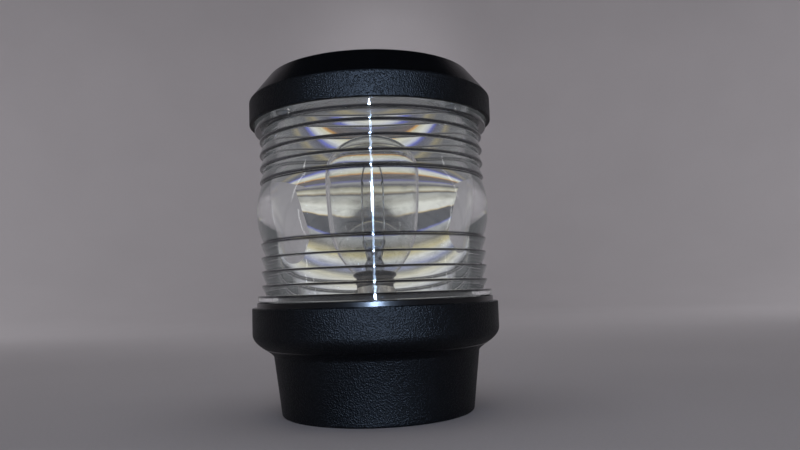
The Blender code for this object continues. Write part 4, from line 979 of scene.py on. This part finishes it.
class NAVLIGHT_OT_bulb(bpy.types.Operator):
    """Blow the bulb's glass, turn its shell and build the stem, wires and filament"""
    bl_idname = "navlight.bulb"
    bl_label = "Bayonet bulb"

    def execute(self, context):
        glass = turn("bulb_globe", pear(0.0) + list(reversed(pear(0.7))), steps=128,
                     closed=False, angle=60.0)
        dress(glass, "Bulb glass", "bulb", "bulb_glass")
        self.make_shell()
        self.make_stem()
        self.make_filament(context.scene.nav_shape.filament_turns)
        return {"FINISHED"}

    def make_shell(self):
        bottom, flare = SHELL_LOW[2], SHELL_R + 1.3
        inner = SHELL_R - 0.4
        shell = turn(
            "bayonet_shell",
            [(flare - 0.4, SKIRT_TOP, 0.15), (flare, SKIRT_TOP, 0.15),
             (flare, SKIRT_TOP - 0.5, 0.3), (SHELL_R, SKIRT_Z, 0.6), (SHELL_R, bottom + 3.4, 0.2),
             (SHELL_R - 0.18, bottom + 3.1, 0.2), (SHELL_R - 0.18, bottom + 2.5, 0.2),
             (SHELL_R, bottom + 2.2, 0.2), (SHELL_R, bottom, 0.35), (inner - 0.1, bottom, 0.1),
             (inner - 0.1, SKIRT_Z + 0.3, 0.4), (flare - 0.5, SKIRT_TOP - 0.35, 0.2)],
            steps=128)
        # the bulb shell takes the nickel with painted shade
        dress(shell, "Nickel in painted shade", "bulb", "bulb_shell")
        stub = turn(
            "bayonet_pin_1",
            [(0, 2.6, 0), (1.0, 2.6, 0.5), (1.0, 0, 0.1), (0, 0, 0)],
            steps=32, closed=False)
        stub.rotation_euler.y = math.radians(90)
        stub.location = (6.1 * MM, 0, PIN_Z * MM)
        settle(stub)
        paint(stub, "Brass")
        other = duplicate(stub, "bayonet_pin_2", rotation=(0, 0, 180))
        fit_out(stub, "bulb", "bulb_pin_1")
        fit_out(other, "bulb", "bulb_pin_2")

    def make_stem(self):
        """A turned stem whose upper end is squeezed flat round the wires."""
        pinch = GLOBE_Z - 16.5
        foot = SKIRT_Z - 2.6
        levels = [(foot, 5.4), (foot + 1.2, 5.2), (foot + 3.0, 4.6), (pinch - 8.5, 4.0),
                  (pinch - 7.0, 3.7), (pinch - 5.8, 3.7), (pinch - 4.6, 4.05), (pinch - 3.4, 4.0),
                  (pinch - 2.2, 3.4), (pinch - 1.0, 2.8), (pinch, 2.7), (pinch + 1.5, 3.2),
                  (pinch + 3.5, 4.0), (pinch + 5.2, 4.6), (pinch + 6.0, 4.7)]
        path = through([(r, 0, z) for z, r in levels], 3)
        outline = [Vector((0, foot))] + [Vector((p[0], p[2])) for p in path]
        outline += [Vector((4.0, pinch + 6.4)), Vector((0, pinch + 6.5))]
        stem = turn("glass_stem", outline, steps=40, closed=False, angle=60.0)
        flat_from, flat_to = pinch - 1.5, pinch + 4.0
        for vertex in stem.data.vertices:
            t = min(1.0, max(0.0, (vertex.co.z / MM - flat_from) / (flat_to - flat_from)))
            t = t * t * (3 - 2 * t)
            vertex.co.y *= 1.0 - 0.74 * t
            vertex.co.x *= 1.0 + 0.03 * t
        dress(stem, "Stem glass", "bulb", "bulb_stem")

    def make_filament(self, turns):
        low, high = GLOBE_Z - 10.2, GLOBE_Z
        for number, side in ((1, 1), (2, -1)):
            x = side * LEAD_X
            hook = [(x, 0, high - 0.4), (x, 0.1, high + 0.5), (0.93 * x, 0.25, high + 0.75),
                    (0.88 * x, 0.0, high + 0.55)]
            route = [(0.55 * x, 0, SKIRT_Z - 1.0), (0.6 * x, 0, low - 9.0),
                     (0.95 * x, 0, low - 3.0),
                     (x, 0, low), (1.05 * x, 0, (low + high) / 2)] + hook
            wire = tube(f"support_wire_{number}", through(route, 6), 0.27, sides=10)
            dress(wire, "Lead wire", "bulb", f"lead_wire_{number}")
        path, steps = [], turns * 9
        base_z = GLOBE_Z + 0.6
        for i in range(steps + 1):
            t = i / steps
            a = math.pi * t
            centre = Vector((LEAD_X * math.cos(a), 0, base_z + 3.0 * math.sin(a)))
            out = Vector((math.cos(a), 0, math.sin(a)))
            spin_angle = math.tau * turns * t
            path.append(centre + out * (0.24 * math.cos(spin_angle))
                        + Vector((0, 0.24 * math.sin(spin_angle), 0)))
        coil = tube("filament_coil", path, 0.06, sides=6)
        dress(coil, "Tungsten", "bulb", "filament")


# ---------------------------------------------------------------- screws and small parts

def cross_screw(name, head_r, head_h, shank_r, length, recess="cross"):
    """A pan head screw standing at the origin with its head up and its recess cut."""
    pitch = 0.55 * shank_r
    outline = [(0, head_h, 0), (head_r * 0.82, head_h, head_h * 0.5), (head_r, 0.35 * head_h, 0.3),
               (head_r, 0, 0.1), (shank_r, 0, 0.1)]
    z = -0.6
    while z - pitch > -length + shank_r:
        outline += [(shank_r, z, 0), (0.8 * shank_r, z - pitch / 2, 0)]
        z -= pitch
    outline += [(0.8 * shank_r, -length + 0.8 * shank_r, 0), (0.1 * shank_r, -length, 0),
                (0, -length, 0)]
    screw = turn(name, outline, steps=40, closed=False, angle=30.0, corner_steps=3)
    arm = 1.25 * head_r
    tool = bar("slot", (arm, 0.24 * head_r, 1.3 * head_h), (0, 0, head_h))
    carve(screw, tool)
    if recess == "cross":
        carve(screw, bar("slot", (arm, 0.24 * head_r, 1.3 * head_h), (0, 0, head_h), 90.0))
    smooth(screw, 30.0)
    paint(screw, "Zinc plated steel")
    return screw


class NAVLIGHT_OT_screws(bpy.types.Operator):
    """Make every screw with its recess and thread"""
    bl_idname = "navlight.screws"
    bl_label = "Screws"

    def execute(self, context):
        groups = (("cap_screw", 3, "lens_unit", (2.8, 1.8, 1.4, 9.0), True, "cross"),
                  ("carrier_screw", 3, "base", (2.8, 1.8, 1.4, 14.0), False, "cross"),
                  ("holder_screw", 2, "base", (1.7, 1.2, 0.9, 2.9), True, "cross"),
                  ("terminal_screw", 4, "base", (1.4, 1.2, 0.9, 2.6), False, "slot"),
                  ("block_screw", 1, "base", (2.4, 1.5, 1.2, 11.0), False, "cross"))
        for stem, count, body, sizes, upwards, recess in groups:
            pattern = cross_screw(stem + "_pattern", *sizes, recess)
            for number in range(1, count + 1):
                node = stem if count == 1 else f"{stem}_{number}"
                low, high = span(node)
                middle = [(low[0] + high[0]) / 2, (low[1] + high[1]) / 2]
                seat = low[2] + sizes[1] if upwards else high[2] - sizes[1]
                screw = duplicate(pattern, node + "_threaded", (*middle, seat),
                                  (180 if upwards else 0, 0, 25.0 * number))
                fit_out(screw, body, node)
            bpy.data.objects.remove(pattern, do_unlink=True)
        return {"FINISHED"}


class NAVLIGHT_OT_gland(bpy.types.Operator):
    """Make the cable gland in the floor"""
    bl_idname = "navlight.gland"
    bl_label = "Cable gland"

    def execute(self, context):
        top = heights("gland_body")[1]
        seat_r, seat = 5.2, top - 5.0
        body = turn(
            "gland_tube",
            [(seat_r, top, 0.1), (6.0, top, 0.2), (6.0, 1.5, 0.1), (9.0, 1.5, 0.3),
             (9.0, 0.3, 0.35), (3.6, 0.3, 0.5), (3.6, seat, 0.1), (seat_r, seat, 0.1)],
            steps=96, centre=GLAND_PLACE)
        dress(body, "Smooth black plastic", "base", "gland_body")
        low, high = span("gland_cap_nut")
        nut = turn(
            "gland_dome_nut",
            [(3.6, high[2], 0.3), (8.1, high[2], 1.2), (8.1, low[2], 0.2), (6.3, low[2], 0.1),
             (6.3, high[2] - 1.8, 0.1), (3.6, high[2] - 1.8, 0.1)],
            steps=96, centre=GLAND_PLACE)
        for k in range(18):
            x, y = polar(8.45, 20.0 * k)
            carve(nut, rod("flute", x, y + GLAND_Y, 0.7, low[2] - 1, high[2] - 1.4, sides=12))
        smooth(nut, 30.0)
        dress(nut, "Smooth black plastic", "base", "gland_cap_nut")
        low, high = span("gland_seal")
        seal = turn(
            "gland_bush",
            [(3.6, high[2], 0.3), (4.9, high[2], 0.3), (4.9, low[2], 0.3), (3.6, low[2], 0.3)],
            steps=64, centre=GLAND_PLACE)
        dress(seal, "Rubber", "base", "gland_seal")
        low, high = span("gland_lock_nut")
        across = max(high[0] - low[0], high[1] - low[1])
        lock = rod("gland_back_nut", 0.0, GLAND_Y, across / 2, low[2], high[2], sides=6)
        drill(lock, [GLAND_PLACE], GLAND_HOLE_R, low[2] - 1, high[2] + 1, sides=64)
        round_edges(lock, 0.25)
        smooth(lock, 30.0)
        dress(lock, "Smooth black plastic", "base", "gland_lock_nut")
        return {"FINISHED"}


class NAVLIGHT_OT_terminals(bpy.types.Operator):
    """Mould the terminal block and turn its clamps"""
    bl_idname = "navlight.terminals"
    bl_label = "Terminal block"

    def execute(self, context):
        low, high = span("terminal_block")
        size = [b - a for a, b in zip(low, high)]
        centre = [(a + b) / 2 for a, b in zip(low, high)]
        clamp_z = low[2] + 5.0
        block = bar("terminal_moulding", size, centre)
        round_edges(block, 0.7, 3)
        for side in (-1, 1):
            tunnel = rod("tunnel", 0, 0, 2.5, -9.0, 9.0, sides=32)
            tunnel.rotation_euler.x = math.radians(90)
            tunnel.location = (side * CLAMP_X * MM, centre[1] * MM, clamp_z * MM)
            settle(tunnel)
            carve(block, tunnel)
            wells = [(side * CLAMP_X, centre[1] + step) for step in (-3.0, 3.0)]
            drill(block, wells, PILOT_R, clamp_z, high[2] + 1, sides=32)
        drill(block, [centre[:2]], 1.5, low[2] - 1, high[2] + 1, sides=32)
        drill(block, [centre[:2]], 2.7, high[2] - 2.4, high[2] + 1, sides=32)
        smooth(block, 30.0)
        dress(block, "Terminal plastic", "base", "terminal_block")
        for number, side in ((1, -1), (2, 1)):
            low, high = span(f"terminal_clamp_{number}")
            half = (high[1] - low[1]) / 2
            clamp = turn(
                f"clamp_tube_{number}",
                [(1.25, half, 0.1), (2.2, half, 0.2), (2.2, -half, 0.2), (1.25, -half, 0.1)],
                steps=40)
            clamp.rotation_euler.x = math.radians(90)
            clamp.location = (side * CLAMP_X * MM, centre[1] * MM, clamp_z * MM)
            settle(clamp)
            threads = [(side * CLAMP_X, centre[1] + step) for step in (-3.0, 3.0)]
            drill(clamp, threads, 1.2, clamp_z, clamp_z + 4, sides=24)
            smooth(clamp, 30.0)
            dress(clamp, "Brass", "base", f"terminal_clamp_{number}")
        return {"FINISHED"}


class NAVLIGHT_OT_bulb_end(bpy.types.Operator):
    """Make the bulb's insulator and its two solder contacts"""
    bl_idname = "navlight.bulb_end"
    bl_label = "Bulb contacts"

    def execute(self, context):
        low, high = heights("bulb_insulator")
        radius = SHELL_R - 0.7
        disc = turn(
            "bulb_end_disc",
            [(0, high, 0), (radius, high, 0.1), (radius, low, 0.4), (0, low, 0)],
            steps=64, closed=False)
        drill(disc, CONTACT_PLACES, CONTACT_HOLE_R, low - 1, high + 1, sides=24)
        smooth(disc)
        dress(disc, "Phenolic", "bulb", "bulb_insulator")
        low, high = heights("solder_contact_1")
        bead = turn(
            "solder_bead_1",
            [(0, high, 0), (1.0, high, 0.1), (1.0, low + 0.3, 0.3), (0.5, low, 0.3), (0, low, 0)],
            steps=28, closed=False, centre=(0, CONTACT_Y))
        paint(bead, "Solder")
        other = duplicate(bead, "solder_bead_2", (0, -2 * CONTACT_Y, 0))
        fit_out(bead, "bulb", "solder_contact_1")
        fit_out(other, "bulb", "solder_contact_2")
        return {"FINISHED"}


# ---------------------------------------------------------------- stage

def area_light(name, location, target, size, power, colour=(1, 1, 1), sees="all"):
    """An area light; "floor" hides it from gloss and the lens, "lens" from gloss alone."""
    deselect()
    bpy.ops.object.light_add(type="AREA", location=location)
    light = bpy.context.active_object
    light.name = name
    aim = Vector(target) - Vector(location)
    light.rotation_euler = aim.to_track_quat("-Z", "Y").to_euler()
    light.data.shape = "RECTANGLE"
    light.data.size, light.data.size_y = size
    light.data.energy, light.data.color = power, colour
    light.visible_camera = False
    light.visible_glossy, light.visible_transmission = sees == "all", sees != "floor"
    return light


# what the lens shows behind it: place along each card in metres, and the light there; the bright
# bands are painted caustic light and the dark bands painted shadow
WALL_STOPS = (
    (0.0, (0.2, 0.19, 0.18)), (0.008, (0.07, 0.07, 0.09)), (0.013, (0.3, 0.28, 0.2)),
    (0.023, (0.62, 0.6, 0.5)), (0.029, (0.3, 0.24, 0.14)), (0.0325, (0.05, 0.05, 0.06)),
    (0.037, (0.36, 0.36, 0.34)), (0.055, (0.44, 0.43, 0.38)), (0.066, (0.68, 0.68, 0.62)),
    (0.091, (0.66, 0.66, 0.62)), (0.0945, (0.55, 0.42, 0.2)), (0.0975, (0.045, 0.045, 0.055)),
    (0.146, (0.03, 0.034, 0.045)), (0.151, (0.12, 0.14, 0.42)), (0.158, (0.34, 0.35, 0.36)),
    (0.2, (0.16, 0.15, 0.13)), (0.235, (0.5, 0.44, 0.24)), (0.26, (0.62, 0.62, 0.58)),
    (0.3, (0.26, 0.28, 0.42)), (0.33, (0.2, 0.2, 0.2)), (0.36, (0.55, 0.52, 0.4)),
    (0.43, (0.62, 0.62, 0.6)), (0.5, (0.4, 0.4, 0.44)), (0.6, (0.21, 0.21, 0.21)),
)
FLOOR_STOPS = (
    (0.25, (0.2, 0.2, 0.2)), (0.36, (0.1, 0.1, 0.11)), (0.4, (0.28, 0.24, 0.14)),
    (0.42, (0.14, 0.14, 0.16)), (0.455, (0.08, 0.08, 0.12)), (0.475, (0.12, 0.14, 0.5)),
    (0.49, (0.5, 0.52, 0.6)), (0.51, (0.66, 0.66, 0.62)), (0.545, (0.62, 0.6, 0.45)),
    (0.56, (0.6, 0.3, 0.06)), (0.575, (0.12, 0.09, 0.08)), (0.64, (0.09, 0.09, 0.1)),
    (0.67, (0.12, 0.12, 0.3)), (0.7, (0.3, 0.3, 0.32)), (0.75, (0.2, 0.19, 0.18)),
)


def glowing_card(name, key, stops, size, centre):
    """A card only the lens shows, its light banded along one coordinate into painted caustics and
    painted shadow.
    """
    glow = Finish(name, base_color=(0.0, 0.0, 0.0), specular_ior_level=0.0,
                  emission_strength=1.0)
    low, high = stops[0][0], stops[-1][0]
    sway = glow.noise(45.0, 3.0, 0.5, glow.stretched((1.0, 0.4, 0.4)))
    along = glow.height(key) + (sway - 0.5) * 0.012
    bands = glow.add("ShaderNodeValToRGB",
                     {"stops": [((at - low) / (high - low), tone) for at, tone in stops]},
                     {"Fac": glow.between(along, low, high)})
    patches = glow.between(glow.noise(38.0, 2.0, 0.5, glow.stretched((1.0, 2.0, 2.0))),
                           0.3, 0.7, 0.72, 1.15)
    glow.set("Emission Color", glow.mix(patches, (0.0, 0.0, 0.0), bands))
    card = bar(name, size, centre)
    paint(card, name)
    card.visible_camera = card.visible_shadow = False
    card.visible_diffuse = card.visible_glossy = False


class NAVLIGHT_OT_stage(bpy.types.Operator):
    """Set the pale floor and backdrop, the lights and the camera"""
    bl_idname = "navlight.stage"
    bl_label = "Stage"

    def execute(self, context):
        settings = context.scene.nav_stage
        card = Finish("Pale card", roughness=0.85, specular_ior_level=0.2)
        speckle = card.noise(1.1, 2.0, 0.7)
        cloud = card.noise(160.0, 2.0)
        colour = tuple(settings.floor_colour)
        card.set("Base Color", card.mix(speckle * 0.6 + cloud * 0.4, scaled(colour, 0.9),
                                        scaled(colour, 1.1)))
        sweep = [(0, 0, 0), (1500, 0, 700), (1800, 1900, 0)]
        dish = turn("backdrop", sweep, steps=96, closed=False, angle=60.0, corner_steps=14)
        paint(dish, "Pale card")
        make_active(dish)
        bpy.ops.object.mode_set(mode="EDIT")
        bpy.ops.mesh.select_all(action="SELECT")
        bpy.ops.mesh.flip_normals()
        bpy.ops.object.mode_set(mode="OBJECT")

        glowing_card("Wall glow", 2, WALL_STOPS, (440.0, 1.0, 598.0), (0.0, 750.0, 301.0))
        glowing_card("Floor glow", 1, FLOOR_STOPS, (330.0, 500.0, 1.0), (0.0, 500.0, 4.0))

        middle = (0, 0, 0.075)
        strip = area_light("front_strip", (0.012, -0.42, 0.15), middle, (0.014, 0.3),
                           settings.key_power, (0.5, 0.68, 1.0))
        strip.visible_diffuse = False
        area_light("left_card", (-0.8, -0.15, 0.45), middle, (0.02, 0.5), 0.15)
        area_light("right_card", (0.85, 0.0, 0.45), middle, (0.02, 0.5), 0.13)
        area_light("overhead", (0.0, 0.3, 1.6), (0.0, 0.3, 0.0), (1.6, 1.6), 4.0,
                   sees="lens")
        for side in (-1, 1):
            area_light(f"wall_wash_{side}", (side * 0.8, 0.45, 0.5), (side * 0.3, 1.8, 0.4),
                       (0.5, 0.5), settings.wall_power, sees="floor")
            area_light(f"side_fill_{side}", (side * 0.9, 0.0, 0.35), middle, (1.2, 1.2), 1.0,
                       sees="lens")
            area_light(f"front_fill_{side}", (side * 0.8, -0.8, 0.4), middle, (1.0, 1.0), 0.8,
                       sees="lens")
        deselect()
        bpy.ops.object.light_add(type="SPOT", location=(0.0, 0.9, 1.3))
        glow = bpy.context.active_object
        glow.name = "backdrop_glow"
        aim = Vector((-0.03, 1.8, 0.42)) - glow.location
        glow.rotation_euler = aim.to_track_quat("-Z", "Y").to_euler()
        glow.data.energy, glow.data.spot_size, glow.data.spot_blend = 5.0, math.radians(34), 1.0
        glow.data.shadow_soft_size = 0.1
        glow.visible_glossy = glow.visible_transmission = False

        world = bpy.data.worlds.new("Studio")
        context.scene.world = world
        world.use_nodes = True
        world.node_tree.nodes["Background"].inputs["Color"].default_value = (0.5, 0.52, 0.55, 1)
        world.node_tree.nodes["Background"].inputs["Strength"].default_value = 0.012

        deselect()
        bpy.ops.object.camera_add(location=(0.0106, -0.279, 0.0478))
        camera = bpy.context.active_object
        camera.data.lens, camera.data.sensor_width = settings.lens_length, 36.0
        camera.data.clip_start, camera.data.clip_end = 0.01, 10.0
        pitch, roll = math.radians(90 + 4.98), math.radians(-1.91)
        camera.rotation_euler = (Matrix.Rotation(pitch, 3, "X")
                                 @ Matrix.Rotation(roll, 3, "Z")).to_euler()
        context.scene.camera = camera
        context.scene.view_settings.view_transform = "Standard"
        context.scene.view_settings.look = "None"
        return {"FINISHED"}


# ---------------------------------------------------------------- sidebar and running

OPERATORS = (
    NAVLIGHT_OT_finishes, NAVLIGHT_OT_lens, NAVLIGHT_OT_cap, NAVLIGHT_OT_housing,
    NAVLIGHT_OT_carrier, NAVLIGHT_OT_holder, NAVLIGHT_OT_leads, NAVLIGHT_OT_bulb,
    NAVLIGHT_OT_bulb_end, NAVLIGHT_OT_screws, NAVLIGHT_OT_gland, NAVLIGHT_OT_terminals,
    NAVLIGHT_OT_stage,
)


class NAVLIGHT_PT_sidebar(bpy.types.Panel):
    """The light's settings and the pieces to make"""
    bl_label = "Navigation light"
    bl_space_type = "VIEW_3D"
    bl_region_type = "UI"
    bl_category = "Nav Light"

    def draw(self, context):
        for settings in (context.scene.nav_shape, context.scene.nav_finish,
                         context.scene.nav_stage):
            box = self.layout.box()
            for name in settings.__annotations__:
                box.prop(settings, name)
        column = self.layout.column(align=True)
        for operator in OPERATORS:
            column.operator(operator.bl_idname)


CLASSES = (NavLightShape, NavLightFinish, NavLightStage) + OPERATORS + (NAVLIGHT_PT_sidebar,)


def register():
    for cls in CLASSES:
        bpy.utils.register_class(cls)
    bpy.types.Scene.nav_shape = bpy.props.PointerProperty(type=NavLightShape)
    bpy.types.Scene.nav_finish = bpy.props.PointerProperty(type=NavLightFinish)
    bpy.types.Scene.nav_stage = bpy.props.PointerProperty(type=NavLightStage)


def unregister():
    del bpy.types.Scene.nav_stage
    del bpy.types.Scene.nav_finish
    del bpy.types.Scene.nav_shape
    for cls in reversed(CLASSES):
        bpy.utils.unregister_class(cls)


def main():
    register()
    for operator in OPERATORS:
        group, name = operator.bl_idname.split(".")
        getattr(getattr(bpy.ops, group), name)()


if __name__ == "__main__":
    main()
